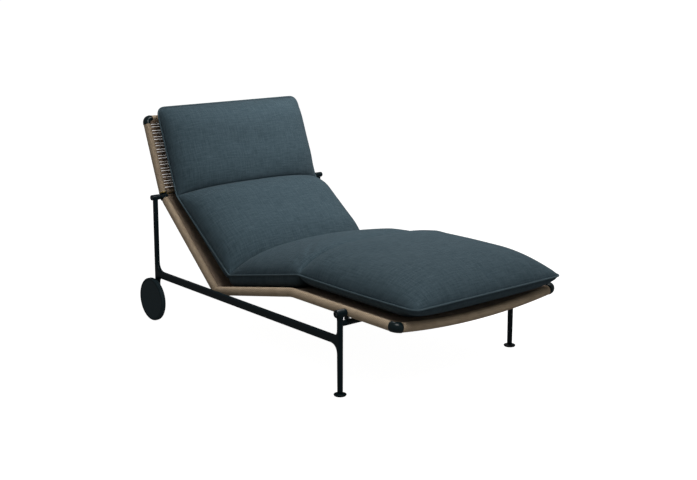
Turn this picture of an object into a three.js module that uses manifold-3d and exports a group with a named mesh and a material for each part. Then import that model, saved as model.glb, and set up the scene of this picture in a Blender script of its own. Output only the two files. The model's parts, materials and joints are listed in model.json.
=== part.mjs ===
// A reclining sun lounger: two cast side frames, a rope-wrapped contour frame with a rope sling,
// a padded mattress in four linked pads, a head section that tilts on the rear axle, and two wheels.
// Millimetres, +Z up, feet and wheels on z = 0. The foot end faces -Y and the head end +Y.
// Side-view points are [y, z] pairs, with y counted back from the front legs.
import * as THREE from "three";
import { mergeVertices } from "three/addons/utils/BufferGeometryUtils.js";
import Module from "manifold-3d";

const wasm = await Module();
wasm.setup();

// ---- Driving dimensions ----------------------------------------------------------------------

const SIDE_X = 396; // centre plane of each side frame
const TUBE_X = 360; // centre plane of each wrapped side tube

// The contour of the tubes' centre line, seen from the side.
const CROWN = [1217, 766]; // top corner of the head section
const AXLE = [1104, 480]; // tilt axle, where head and lower back meet
const HIP = [753, 179]; // mitre between lower back and seat
const KNEE = [296, 271]; // bend between seat and leg rest
const TOE = [-221, 269]; // front corner
const KNEE_RADIUS = 160;

// Half sizes of the tube's oval section: across the lounger, and at right angles to the contour.
const CORE_OUTER = [10, 13];
const CORE_INNER = [8, 11];
const WRAP_OUTER = [13, 16];
const WRAP_INNER = [10.3, 13.3];
const CAP_OUTER = [14, 17];
const SPIGOT = [7.6, 10.6];
const SMALL_SPIGOT = [5.5, 7.5]; // enters a rail that bows away from it
const SPIGOT_LENGTH = 26;
const SMALL_SPIGOT_LENGTH = 14;

const CAP_LEG = 22; // corner to the end of each arm of a corner cap
const CAP_RADIUS = 21;
const BOW = 18; // how far the sling and the lower rail sag below the side tubes at mid width
const RAIL_DROP = 4; // how far the end rails start below their corners
const RAIL_BOW = 21; // how far the end rails sag further at mid width
const HINGE_END = 15.5; // axle to the end of the tubes on either side of it
const LOWER_RAIL_UP = 18; // axle to the head section's lower rail
const LOWER_RAIL_CORE = [4.6, 4.6];
const LOWER_RAIL_WRAP = [7.5, 7.5];

const SLING_EDGE = 8; // top of the sling above the contour, beside the tubes
const SLING_THICK = 6;
const SLING_END_X = 345.5;

const PAD_HALF_WIDTH = 334;
const PAD_BOTTOM = 12; // above the contour
const PAD_OVER_RAIL = 17.5; // above the contour where a pad crosses a rail
const PAD_TOP = 120;
const PAD_PAST_CROWN = 15;
const PAD_PAST_TOE = 56;
const PAD_EDGE = 30; // chamfer along the long top edges
const CREASE_GAP = 1;

const RAIL_Z = 181;
const RAIL_HEIGHT = 28;
const CASTING_THICK = 17;
const CASTING_BEVEL = 5.5;
const UPRIGHT_WIDTH = 19;
const LEG_WIDTH = 18;
const LEG_FOOT_Z = 9;
const BARREL_OUTER_X = 414.5;
const FRONT_BARREL = { y: 0, z: 271, radius: 13, innerX: TUBE_X + WRAP_OUTER[0] + 0.4 };
const REAR_BARREL = { y: AXLE[0], z: AXLE[1], radius: 10.5, innerX: 377.5 };

const AXLE_RADIUS = 8;
const BUSH_RADIUS = 9.6;
const EYE_RADIUS = 12.5;
const HEAD_EYE_X = [347.5, 358]; // the slice of width each hinge eye fills
const WASHER_X = [358.4, 361.6];
const BACK_EYE_X = [362, 372.5];

const CROSSBAR = { y: 0, z: 237, half: [6, 10] };
const LUG = { x: 367.5, thick: 6, length: 22 };

const BOLT_RADIUS = 4;
const BOLT_HEAD_RADIUS = 6.5;
const BOLT_RECESS = 6;

const BOSS_RADIUS = 13.5; // rounds the foot of the upright
const WHEEL = {
  y: AXLE[0] - UPRIGHT_WIDTH / 2 + BOSS_RADIUS,
  radius: 83,
  innerX: 408.6,
  outerX: 427,
  tyre: 9,
};
const WHEEL_AXLE_RADIUS = 6;
const WHEEL_BUSH_RADIUS = 9;

const GLIDE_RADIUS = 21;
const GLIDE_PAD = 2.2;

const GAP = 0.3; // clearance between pieces that touch

// How finely round shapes are faceted.
const SECTION_SIDES = 12;
const RAIL_STEPS = 8;
const BEND_STEPS = 4;

// ---- Materials -------------------------------------------------------------------------------

const paint = (color, roughness, metalness = 0) =>
  new THREE.MeshStandardMaterial({ color, roughness, metalness });

const POWDER_COAT = paint(0x1c2428, 0.45, 0.3);
const ROPE = paint(0x83705a, 0.9);
const WEAVE = paint(0x5c4636, 0.9);
const FABRIC = paint(0x445a64, 0.95);
const ALUMINIUM = paint(0xb8babd, 0.35, 1);
const STEEL = paint(0x3a3f42, 0.4, 1);
const BRONZE = paint(0x8a7431, 0.4, 1);
const NYLON = paint(0x1a1b1c, 0.6);
const TYRE = paint(0x20282b, 0.8);

// ---- Small geometry tools --------------------------------------------------------------------

const at = (x, [y, z]) => new THREE.Vector3(x, y, z);
const along = (from, to) => {
  const length = Math.hypot(to[0] - from[0], to[1] - from[1]);
  return [(to[0] - from[0]) / length, (to[1] - from[1]) / length];
};
const step = (point, direction, distance) => [
  point[0] + direction[0] * distance,
  point[1] + direction[1] * distance,
];
// The seat side of a line that runs from foot to head.
const upper = (direction) => [-direction[1], direction[0]];

const HEAD_WAY = along(AXLE, CROWN);
const BACK_WAY = along(HIP, AXLE);
const SEAT_WAY = along(KNEE, HIP);
const LEG_WAY = along(TOE, KNEE);

// Where two stretches of the contour meet, moved to the seat side by height.
function offsetCorner(corner, wayIn, wayOut, height) {
  const a = upper(wayIn);
  const b = upper(wayOut);
  const stretch = height / (1 + a[0] * b[0] + a[1] * b[1]);
  return [corner[0] + (a[0] + b[0]) * stretch, corner[1] + (a[1] + b[1]) * stretch];
}

// Points of a side-view line through corners, each corner rounded to a radius.
function roundedLine(corners, radii, segments = BEND_STEPS) {
  const points = [corners[0]];
  for (let i = 1; i < corners.length - 1; i++) {
    const into = along(corners[i - 1], corners[i]);
    const out = along(corners[i], corners[i + 1]);
    const turn = Math.acos(into[0] * out[0] + into[1] * out[1]);
    const reach = radii[i - 1] * Math.tan(turn / 2);
    const start = step(corners[i], into, -reach);
    const end = step(corners[i], out, reach);
    const arc = new THREE.QuadraticBezierCurve(
      new THREE.Vector2(...start),
      new THREE.Vector2(...corners[i]),
      new THREE.Vector2(...end),
    );
    points.push(...arc.getPoints(segments).map((p) => [p.x, p.y]));
  }
  points.push(corners.at(-1));
  return points;
}

// A path in one plane, for ExtrudeGeometry. The section's x runs along -across,
// and its y at right angles to both the path and across.
class PlanarPath extends THREE.Curve {
  constructor(points, across) {
    super();
    this.points = points;
    this.across = across;
  }
  getPoint(t, target = new THREE.Vector3()) {
    const place = t * (this.points.length - 1);
    const i = Math.min(Math.floor(place), this.points.length - 2);
    return target.lerpVectors(this.points[i], this.points[i + 1], place - i);
  }
  getSpacedPoints() {
    return this.points.map((p) => p.clone());
  }
  computeFrenetFrames() {
    const last = this.points.length - 1;
    const tangents = this.points.map((_, i) =>
      new THREE.Vector3()
        .subVectors(this.points[Math.min(i + 1, last)], this.points[Math.max(i - 1, 0)])
        .normalize(),
    );
    return {
      tangents,
      normals: tangents.map(() => this.across.clone().negate()),
      binormals: tangents.map((t) => new THREE.Vector3().crossVectors(this.across, t)),
    };
  }
}

function oval([halfX, halfY], hole) {
  const shape = new THREE.Shape();
  shape.absellipse(0, 0, halfX, halfY, 0, Math.PI * 2);
  if (hole) shape.holes.push(new THREE.Path().absellipse(0, 0, ...hole, 0, Math.PI * 2));
  return shape;
}

const sweep = (shape, points, across) =>
  new THREE.ExtrudeGeometry(shape, {
    steps: points.length - 1,
    curveSegments: SECTION_SIDES / 2,
    extrudePath: new PlanarPath(points, across),
  });

const X_AXIS = new THREE.Vector3(1, 0, 0);
// Sweeps a section along a side-view line at one place across the width.
const sweepSide = (shape, x, line) => sweep(shape, line.map((p) => at(x, p)), X_AXIS);

// A round bar or sleeve along X. Profile points are [x, radius], with x away from the middle.
function turned(profile, side, [y, z], segments = 16) {
  const geometry = new THREE.LatheGeometry(
    profile.map(([x, radius]) => new THREE.Vector2(radius, x)),
    segments,
  );
  geometry.rotateZ(-Math.PI / 2);
  if (side < 0) geometry.rotateY(Math.PI);
  return geometry.translate(0, y, z);
}

const rod = (x0, x1, radius) => [[x0, 0], [x0, radius], [x1, radius], [x1, 0]];
const sleeve = (x0, x1, inner, outer) => [
  [x0, inner], [x0, outer], [x1, outer], [x1, inner], [x0, inner],
];

function solid(geometry) {
  const bare = geometry.index ? geometry.toNonIndexed() : geometry.clone();
  bare.deleteAttribute("normal");
  bare.deleteAttribute("uv");
  const merged = mergeVertices(bare, 1e-3);
  return new wasm.Manifold(
    new wasm.Mesh({
      numProp: 3,
      vertProperties: merged.getAttribute("position").array,
      triVerts: new Uint32Array(merged.index.array),
    }),
  );
}

function geometryOf(manifold) {
  const mesh = manifold.getMesh();
  const indexed = new THREE.BufferGeometry();
  indexed.setAttribute("position", new THREE.BufferAttribute(mesh.vertProperties, mesh.numProp));
  indexed.setIndex(new THREE.BufferAttribute(mesh.triVerts, 1));
  const geometry = indexed.toNonIndexed();
  geometry.computeVertexNormals();
  return geometry;
}

function join(...geometries) {
  return geometryOf(geometries.map(solid).reduce((sum, piece) => sum.add(piece)));
}

function cut(geometry, ...tools) {
  return geometryOf(tools.map(solid).reduce((rest, tool) => rest.subtract(tool), solid(geometry)));
}

// A block that removes everything past a plane through point, on the side away from keep.
function pastPlane(point, keep, x) {
  const size = 120;
  const centre = step(point, keep, -size / 2 + GAP);
  return new THREE.BoxGeometry(size, size, size)
    .rotateX(Math.atan2(keep[1], keep[0]))
    .translate(x, ...centre);
}

const lounger = new THREE.Group();

function add(name, geometry, material) {
  const mesh = new THREE.Mesh(geometry, material);
  mesh.name = name;
  lounger.add(mesh);
}

// Runs once for each side of the lounger; left is the sitter's left, at +X.
const SIDES = [["left", 1], ["right", -1]];
const bothSides = (build) => SIDES.forEach(([word, side]) => build(word, side));

// ---- Side frames -----------------------------------------------------------------------------

// Outline of one casting in the side view: front leg, lower rail and rear upright in one piece.
function castingOutline() {
  const legFront = -LEG_WIDTH / 2;
  const legBack = LEG_WIDTH / 2;
  const uprightFront = AXLE[0] - UPRIGHT_WIDTH / 2;
  const uprightBack = AXLE[0] + UPRIGHT_WIDTH / 2;
  const railTop = RAIL_Z + RAIL_HEIGHT / 2;
  const railBottom = RAIL_Z - RAIL_HEIGHT / 2;
  const legTop = FRONT_BARREL.z;
  const flare = 4;
  const outline = new THREE.Shape();
  outline.moveTo(legFront + 1, LEG_FOOT_Z);
  outline.lineTo(legBack - 1, LEG_FOOT_Z);
  outline.lineTo(legBack, railBottom - 34);
  outline.quadraticCurveTo(legBack, railBottom, legBack + 34, railBottom);
  outline.lineTo(uprightFront - 26, railBottom);
  outline.quadraticCurveTo(uprightFront, railBottom, uprightFront, railBottom - 22);
  outline.absarc(WHEEL.y, WHEEL.radius, BOSS_RADIUS, Math.PI, Math.PI * 2, false);
  outline.lineTo(uprightBack, railBottom - 20);
  outline.lineTo(uprightBack, AXLE[1]);
  outline.lineTo(uprightFront, AXLE[1]);
  outline.lineTo(uprightFront, railTop + 36);
  outline.quadraticCurveTo(uprightFront, railTop, uprightFront - 36, railTop);
  outline.lineTo(legBack + 22, railTop);
  outline.quadraticCurveTo(legBack, railTop, legBack, railTop + 22);
  outline.lineTo(legBack, legTop - 26);
  outline.lineTo(legBack + flare, legTop);
  outline.lineTo(legFront - flare, legTop);
  outline.lineTo(legFront, legTop - 26);
  return outline;
}

// A T-shaped head: a round barrel across the top of a leg, with rounded rims.
const barrel = ({ y, z, radius, innerX }, side) =>
  turned(
    [
      [innerX, 0], [innerX, radius], [BARREL_OUTER_X - 3, radius],
      [BARREL_OUTER_X, radius - 3], [BARREL_OUTER_X, 0],
    ],
    side,
    [y, z],
  );

function boltHole({ y, z, innerX }, side) {
  return turned(
    [
      [innerX - 5, 0], [innerX - 5, BOLT_RADIUS + GAP],
      [BARREL_OUTER_X - BOLT_RECESS, BOLT_RADIUS + GAP],
      [BARREL_OUTER_X - BOLT_RECESS, BOLT_HEAD_RADIUS + GAP],
      [BARREL_OUTER_X + 5, BOLT_HEAD_RADIUS + GAP], [BARREL_OUTER_X + 5, 0],
    ],
    side,
    [y, z],
    12,
  );
}

function sideFrame(side) {
  const plate = new THREE.ExtrudeGeometry(castingOutline(), {
    depth: CASTING_THICK - 2 * CASTING_BEVEL,
    curveSegments: 5,
    bevelThickness: CASTING_BEVEL,
    bevelSize: CASTING_BEVEL,
    bevelOffset: -CASTING_BEVEL,
    bevelSegments: 2,
  });
  plate.translate(0, 0, -CASTING_THICK / 2 + CASTING_BEVEL);
  // The outline's own x, y and depth become the lounger's y, z and x.
  plate.applyMatrix4(new THREE.Matrix4().set(0, 0, 1, 0, 1, 0, 0, 0, 0, 1, 0, 0, 0, 0, 0, 1));
  plate.translate(side * SIDE_X, 0, 0);
  const wheelBore = rod(SIDE_X - 20, SIDE_X + 20, WHEEL_AXLE_RADIUS + GAP);
  const stemBore = new THREE.CylinderGeometry(BOLT_RADIUS + GAP, BOLT_RADIUS + GAP, 80, 12)
    .rotateX(Math.PI / 2)
    .translate(side * SIDE_X, 0, 10);
  return cut(
    join(plate, barrel(FRONT_BARREL, side), barrel(REAR_BARREL, side)),
    boltHole(FRONT_BARREL, side),
    boltHole(REAR_BARREL, side),
    turned(wheelBore, side, [WHEEL.y, WHEEL.radius], 16),
    stemBore,
  );
}

function bolt({ y, z }, side, tipX) {
  const headX = BARREL_OUTER_X - BOLT_RECESS + GAP;
  return turned(
    [
      [tipX, 0], [tipX, BOLT_RADIUS], [headX, BOLT_RADIUS],
      [headX, BOLT_HEAD_RADIUS], [headX + 3, BOLT_HEAD_RADIUS], [headX + 4.5, 3], [headX + 4.5, 0],
    ],
    side,
    [y, z],
    12,
  );
}

function glide(side) {
  const profile = [
    [0, GLIDE_PAD + GAP], [GLIDE_RADIUS, GLIDE_PAD + GAP], [GLIDE_RADIUS, 5], [18, 6.4],
    [8, LEG_FOOT_Z - GAP], [BOLT_RADIUS, LEG_FOOT_Z - GAP], [BOLT_RADIUS, 44], [0, 44],
  ];
  return new THREE.LatheGeometry(profile.map((p) => new THREE.Vector2(...p)), 20)
    .rotateX(Math.PI / 2)
    .translate(side * SIDE_X, 0, 0);
}

function glidePad(side) {
  const radius = GLIDE_RADIUS - 1;
  const profile = [[0, 0], [radius - 1, 0], [radius, 1], [radius, GLIDE_PAD], [0, GLIDE_PAD]];
  return new THREE.LatheGeometry(profile.map((p) => new THREE.Vector2(...p)), 20)
    .rotateX(Math.PI / 2)
    .translate(side * SIDE_X, 0, 0);
}

bothSides((word, side) => {
  add(`side_frame_${word}`, sideFrame(side), POWDER_COAT);
  add(`glide_foot_${word}`, glide(side), POWDER_COAT);
  add(`glide_pad_${word}`, glidePad(side), NYLON);
  add(`front_bolt_${word}`, bolt(FRONT_BARREL, side, TUBE_X - 7), STEEL);
  add(`rear_bolt_${word}`, bolt(REAR_BARREL, side, REAR_BARREL.innerX - 28), STEEL);
});

// ---- Cross-members ---------------------------------------------------------------------------

function crossbar() {
  const halfLength = SIDE_X - CASTING_THICK / 2 - GAP;
  const ends = [at(-halfLength, [CROSSBAR.y, CROSSBAR.z]), at(halfLength, [CROSSBAR.y, CROSSBAR.z])];
  return sweep(oval(CROSSBAR.half), ends, new THREE.Vector3(0, 1, 0));
}

function rearAxle() {
  const end = REAR_BARREL.innerX - GAP;
  const bar = turned(rod(-end, end, AXLE_RADIUS), 1, AXLE);
  const tapped = [1, -1].map((side) => turned(rod(end - 30, end + 5, BOLT_RADIUS + GAP), side, AXLE, 12));
  return cut(bar, ...tapped);
}

// A saddle block between the crossbar and the side tube above it.
function lug(side) {
  const bottom = CROSSBAR.z + CROSSBAR.half[1] - 3;
  const top = TOE[1] - 4;
  const block = new THREE.BoxGeometry(LUG.thick, LUG.length, top - bottom)
    .translate(side * LUG.x, CROSSBAR.y, (top + bottom) / 2);
  const grown = (half) => half.map((size) => size + GAP);
  const wrap = sweepSide(oval(grown(WRAP_OUTER)), side * TUBE_X, [[-60, TOE[1]], [60, TOE[1] + 0.3]]);
  const barEnds = [at(-SIDE_X, [CROSSBAR.y, CROSSBAR.z]), at(SIDE_X, [CROSSBAR.y, CROSSBAR.z])];
  const bar = sweep(oval(grown(CROSSBAR.half)), barEnds, new THREE.Vector3(0, 1, 0));
  return cut(block, wrap, bar);
}

add("front_crossbar", crossbar(), POWDER_COAT);
add("rear_axle", rearAxle(), POWDER_COAT);
bothSides((word, side) => add(`seat_lug_${word}`, lug(side), POWDER_COAT));

// ---- Contour frame: wrapped side tubes -------------------------------------------------------

const HEAD_LINE = [step(AXLE, HEAD_WAY, HINGE_END), step(CROWN, HEAD_WAY, -CAP_LEG)];
const BACK_LINE = [step(HIP, BACK_WAY, -60), step(AXLE, BACK_WAY, -HINGE_END)];
const SEAT_LINE = roundedLine(
  [step(TOE, LEG_WAY, CAP_LEG), KNEE, step(HIP, SEAT_WAY, 60)],
  [KNEE_RADIUS],
);

// The mitre at the hip lies along the line that halves the angle there.
const HIP_PLANE = along(HIP, offsetCorner(HIP, SEAT_WAY, BACK_WAY, 1));
const TO_BACK = [-upper(HIP_PLANE)[0], -upper(HIP_PLANE)[1]];
const TO_SEAT = upper(HIP_PLANE);

function tubeAndWrap(name, word, side, line, tools = []) {
  const x = side * TUBE_X;
  const core = sweepSide(oval(CORE_OUTER, CORE_INNER), x, line);
  const wrap = sweepSide(oval(WRAP_OUTER, WRAP_INNER), x, line);
  add(`${name}_tube_${word}`, tools.length ? cut(core, ...tools) : core, ALUMINIUM);
  add(`${name}_wrap_${word}`, tools.length ? cut(wrap, ...tools) : wrap, ROPE);
}

bothSides((word, side) => {
  const x = side * TUBE_X;
  const boltRod = rod(TUBE_X - 9, TUBE_X + 20, BOLT_RADIUS + GAP);
  const boltWay = turned(boltRod, side, [FRONT_BARREL.y, FRONT_BARREL.z], 12);
  tubeAndWrap("head", word, side, HEAD_LINE);
  tubeAndWrap("back", word, side, BACK_LINE, [pastPlane(HIP, TO_BACK, x)]);
  tubeAndWrap("seat", word, side, SEAT_LINE, [pastPlane(HIP, TO_SEAT, x), boltWay]);
});

// ---- Corner caps -----------------------------------------------------------------------------

// An elbow from a side tube, which arrives along way, to a rail across the width.
function cornerCap(side, corner, way, railCorner, railStart) {
  const across = at(0, upper(way));
  const x = side * TUBE_X;
  const arm = at(x, step(corner, way, -CAP_LEG + GAP));
  const corner3 = at(x, corner);
  const railEnd = at(side * (railStart + GAP), railCorner);
  const intoCorner = new THREE.Vector3().subVectors(corner3, arm).normalize();
  const outOfCorner = new THREE.Vector3().subVectors(railEnd, corner3).normalize();
  const bend = new THREE.QuadraticBezierCurve3(
    corner3.clone().addScaledVector(intoCorner, -CAP_RADIUS),
    corner3,
    corner3.clone().addScaledVector(outOfCorner, CAP_RADIUS),
  );
  const section = oval([CAP_OUTER[1], CAP_OUTER[0]]);
  const elbow = sweep(section, [arm, ...bend.getPoints(BEND_STEPS), railEnd], across);
  const tubeSpigot = sweepSide(oval(SPIGOT), x, [
    step(corner, way, -CAP_LEG - SPIGOT_LENGTH), step(corner, way, -CAP_LEG + 2),
  ]);
  const spigotEnds = [
    at(side * (railStart - SMALL_SPIGOT_LENGTH), railCorner),
    at(side * (railStart + 2), railCorner),
  ];
  const railSpigot = sweep(oval([SMALL_SPIGOT[1], SMALL_SPIGOT[0]]), spigotEnds, across);
  return join(elbow, tubeSpigot, railSpigot);
}

const RAIL_START = TUBE_X - CAP_LEG;
const RAIL_END = RAIL_START - 2.2; // a bowed rail's end face leans, so it stops a little short of the cap
const TOE_WAY = [-LEG_WAY[0], -LEG_WAY[1]];
const TOP_RAIL_ENDS = step(CROWN, upper(HEAD_WAY), -RAIL_DROP);
const FRONT_RAIL_ENDS = step(TOE, upper(LEG_WAY), -RAIL_DROP);
bothSides((word, side) => {
  add(`crown_cap_${word}`, cornerCap(side, CROWN, HEAD_WAY, TOP_RAIL_ENDS, RAIL_START), POWDER_COAT);
  add(`toe_cap_${word}`, cornerCap(side, TOE, TOE_WAY, FRONT_RAIL_ENDS, RAIL_START), POWDER_COAT);
});

// ---- Bowed rails across the width ------------------------------------------------------------

// Sags by bow at mid width, on the side away from the mattress.
function railPath(centre, way, bow, halfLength, bowHalfLength = halfLength) {
  const sag = upper(way).map((part) => -part);
  return Array.from({ length: RAIL_STEPS + 1 }, (_, i) => {
    const x = ((2 * i) / RAIL_STEPS - 1) * halfLength;
    return at(x, step(centre, sag, bow * (1 - (x / bowHalfLength) ** 2)));
  });
}

function rail(name, centre, way, bow, halfLength, core, hollow, wrap, wrapHalfLength = halfLength) {
  const path = railPath(centre, way, bow, halfLength);
  const wrapPath = railPath(centre, way, bow, wrapHalfLength, halfLength);
  const across = at(0, way);
  add(`${name}_rail`, sweep(oval(core, hollow), path, across), ALUMINIUM);
  const wrapHole = core.map((half) => half + GAP);
  add(`${name}_rail_wrap`, sweep(oval(wrap, wrapHole), wrapPath, across), ROPE);
}

rail("top", TOP_RAIL_ENDS, HEAD_WAY, RAIL_BOW, RAIL_END, CORE_OUTER, CORE_INNER, WRAP_OUTER);
rail("front", FRONT_RAIL_ENDS, LEG_WAY, RAIL_BOW, RAIL_END, CORE_OUTER, CORE_INNER, WRAP_OUTER);
rail(
  "lower",
  step(AXLE, HEAD_WAY, LOWER_RAIL_UP),
  HEAD_WAY,
  BOW,
  TUBE_X - WRAP_OUTER[0] - GAP,
  LOWER_RAIL_CORE,
  undefined,
  LOWER_RAIL_WRAP,
  HEAD_EYE_X[0] - 4 - GAP, // beside the bushes' flanges
);

// ---- Tilt hinge on the rear axle -------------------------------------------------------------

// An eye on the axle, a flange against the tube's end and a spigot inside the tube.
function hinge(side, [x0, x1], way) {
  const tubeEnd = HINGE_END - GAP;
  const eye = turned(rod(x0, x1, EYE_RADIUS), side, AXLE);
  const middle = (side * (x0 + x1)) / 2;
  const neck = new THREE.BoxGeometry(x1 - x0, 2 * EYE_RADIUS - 7, tubeEnd - 4)
    .rotateX(Math.atan2(way[1], way[0]) - Math.PI / 2)
    .translate(middle, ...step(AXLE, way, (tubeEnd + 4) / 2));
  const flange = sweepSide(oval(CORE_OUTER), side * TUBE_X, [
    step(AXLE, way, EYE_RADIUS + 1), step(AXLE, way, tubeEnd),
  ]);
  const spigot = sweepSide(oval(SPIGOT), side * TUBE_X, [
    step(AXLE, way, tubeEnd - 1), step(AXLE, way, tubeEnd + SPIGOT_LENGTH),
  ]);
  const bore = turned(rod(x0 - 5, x1 + 5, BUSH_RADIUS + GAP), side, AXLE);
  return cut(join(eye, neck, flange, spigot), bore);
}

const flangedBush = (side) =>
  turned(
    [
      [HEAD_EYE_X[0] - 4, AXLE_RADIUS + GAP], [HEAD_EYE_X[0] - 4, EYE_RADIUS - 1],
      [HEAD_EYE_X[0] - GAP, EYE_RADIUS - 1], [HEAD_EYE_X[0] - GAP, BUSH_RADIUS],
      [BACK_EYE_X[1] + 2, BUSH_RADIUS], [BACK_EYE_X[1] + 2, AXLE_RADIUS + GAP],
      [HEAD_EYE_X[0] - 4, AXLE_RADIUS + GAP],
    ],
    side,
    AXLE,
  );

bothSides((word, side) => {
  add(`head_hinge_${word}`, hinge(side, HEAD_EYE_X, HEAD_WAY), POWDER_COAT);
  add(`back_hinge_${word}`, hinge(side, BACK_EYE_X, [-BACK_WAY[0], -BACK_WAY[1]]), POWDER_COAT);
  add(`hinge_bush_${word}`, flangedBush(side), BRONZE);
  add(
    `friction_washer_${word}`,
    turned(sleeve(...WASHER_X, BUSH_RADIUS + GAP, EYE_RADIUS), side, AXLE),
    STEEL,
  );
});

// ---- Rope sling ------------------------------------------------------------------------------

// The sling's section across the width: a thin band that sags between the side tubes.
function slingSection() {
  const sag = (t) => SLING_EDGE - BOW * (1 - t * t);
  const stations = Array.from({ length: RAIL_STEPS + 1 }, (_, i) => (2 * i) / RAIL_STEPS - 1);
  const top = stations.map((t) => new THREE.Vector2(t * SLING_END_X, sag(t)));
  const bottom = stations.toReversed().map((t) => new THREE.Vector2(t * SLING_END_X, sag(t) - SLING_THICK));
  return new THREE.Shape([...top, ...bottom]);
}

const sling = (line) => sweepSide(slingSection(), 0, line);
add("head_sling", sling([step(AXLE, HEAD_WAY, LOWER_RAIL_UP + 9), step(CROWN, HEAD_WAY, -15.5)]), WEAVE);
add("back_sling", sling([step(HIP, BACK_WAY, 8), step(AXLE, BACK_WAY, -20)]), WEAVE);
add(
  "seat_sling",
  sling(roundedLine([step(TOE, LEG_WAY, 15.5), KNEE, step(HIP, SEAT_WAY, -8)], [KNEE_RADIUS])),
  WEAVE,
);

// ---- Mattress pads ---------------------------------------------------------------------------

// Extrudes a side-view outline across the width, with chamfers along both sides.
function pad(outline) {
  const geometry = new THREE.ExtrudeGeometry(new THREE.Shape(outline.map((p) => new THREE.Vector2(...p))), {
    depth: 2 * (PAD_HALF_WIDTH - PAD_EDGE),
    bevelThickness: PAD_EDGE,
    bevelSize: PAD_EDGE / 2,
    bevelOffset: -PAD_EDGE / 2,
    bevelSegments: 1,
  });
  geometry.translate(0, 0, -(PAD_HALF_WIDTH - PAD_EDGE));
  return geometry.applyMatrix4(
    new THREE.Matrix4().set(0, 0, 1, 0, 1, 0, 0, 0, 0, 1, 0, 0, 0, 0, 0, 1),
  );
}

// One end of a pad at a crease: its bottom and top corners, drawn back by half the crease gap.
function creaseEnd(corner, wayIn, wayOut, inward) {
  return [PAD_BOTTOM, PAD_TOP].map((height) =>
    step(offsetCorner(corner, wayIn, wayOut, height), inward, CREASE_GAP / 2),
  );
}

const reversed = ([y, z]) => [-y, -z];
const headEnd = creaseEnd(AXLE, BACK_WAY, HEAD_WAY, HEAD_WAY);
const backTop = creaseEnd(AXLE, BACK_WAY, HEAD_WAY, reversed(BACK_WAY));
const backFoot = creaseEnd(HIP, SEAT_WAY, BACK_WAY, BACK_WAY);
const seatBack = creaseEnd(HIP, SEAT_WAY, BACK_WAY, reversed(SEAT_WAY));
const seatFront = creaseEnd(KNEE, LEG_WAY, SEAT_WAY, SEAT_WAY);
const legBack = creaseEnd(KNEE, LEG_WAY, SEAT_WAY, reversed(LEG_WAY));

// The free end of a pad, which lies over a rail and passes it.
function endOverRail(corner, way, past) {
  const seatSide = way[0] > 0 ? upper(way) : upper(reversed(way));
  const raised = (distance, height) => step(step(corner, way, distance), seatSide, height);
  return [
    raised(-30, PAD_BOTTOM), raised(-22, PAD_OVER_RAIL), raised(past, PAD_OVER_RAIL + 12),
    raised(past, PAD_TOP - 25), raised(past - 25, PAD_TOP),
  ];
}

add("head_pad", pad([headEnd[0], ...endOverRail(CROWN, HEAD_WAY, PAD_PAST_CROWN), headEnd[1]]), FABRIC);
add("back_pad", pad([backFoot[0], backTop[0], backTop[1], backFoot[1]]), FABRIC);
add("seat_pad", pad([seatFront[0], seatBack[0], seatBack[1], seatFront[1]]), FABRIC);
const toeEnd = endOverRail(TOE, TOE_WAY, PAD_PAST_TOE).toReversed();
add("leg_pad", pad([legBack[1], ...toeEnd, legBack[0]]), FABRIC);

// ---- Wheels ----------------------------------------------------------------------------------

const HUB = [WHEEL.y, WHEEL.radius];

// A solid disc with a blind bore from the inside.
const wheelDisc = (side) => {
  const rim = WHEEL.radius - WHEEL.tyre - GAP;
  const boreEnd = WHEEL.outerX - 4;
  const bore = WHEEL_BUSH_RADIUS + GAP;
  return turned(
    [
      [boreEnd, 0], [boreEnd, bore], [WHEEL.innerX, bore], [WHEEL.innerX, 18],
      [WHEEL.innerX + 2, rim], [WHEEL.outerX, rim], [WHEEL.outerX, 0],
    ],
    side,
    HUB,
    28,
  );
};

const wheelTyre = (side) => {
  const inner = WHEEL.radius - WHEEL.tyre;
  const round = 4;
  return turned(
    [
      [WHEEL.innerX + 1, inner], [WHEEL.innerX + 1, WHEEL.radius - round],
      [WHEEL.innerX + 1 + round, WHEEL.radius], [WHEEL.outerX - round, WHEEL.radius],
      [WHEEL.outerX, WHEEL.radius - round], [WHEEL.outerX, inner], [WHEEL.innerX + 1, inner],
    ],
    side,
    HUB,
    36,
  );
};

const wheelBush = (side) =>
  turned(
    sleeve(WHEEL.innerX + 0.5, WHEEL.outerX - 4.5, WHEEL_AXLE_RADIUS + GAP, WHEEL_BUSH_RADIUS),
    side,
    HUB,
    16,
  );

// A pin through the casting, headed on the inside.
const wheelAxle = (side) => {
  const inside = SIDE_X - CASTING_THICK / 2 - GAP;
  return turned(
    [
      [inside - 4, 0], [inside - 4, 9], [inside, 9], [inside, WHEEL_AXLE_RADIUS],
      [WHEEL.outerX - 5, WHEEL_AXLE_RADIUS], [WHEEL.outerX - 5, 0],
    ],
    side,
    HUB,
    16,
  );
};

bothSides((word, side) => {
  add(`wheel_disc_${word}`, wheelDisc(side), NYLON);
  add(`wheel_tyre_${word}`, wheelTyre(side), TYRE);
  add(`wheel_bush_${word}`, wheelBush(side), NYLON);
  add(`wheel_axle_${word}`, wheelAxle(side), STEEL);
});

// ---- The row frame: centred over its footprint, standing on z = 0 -----------------------------

const extent = new THREE.Box3().setFromObject(lounger);
lounger.position.y = -(extent.min.y + extent.max.y) / 2;

const part = new THREE.Group();
part.add(lounger);

export default part;
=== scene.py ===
"""A reclining sun lounger: cast side frames, a rope-wrapped contour frame, a rope sling and a
padded mattress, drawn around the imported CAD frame. The foot end faces -Y, the head end +Y.

Side-view points are (y, z) pairs in millimetres, with y counted back from the front legs.
"""
import json
import math

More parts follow.
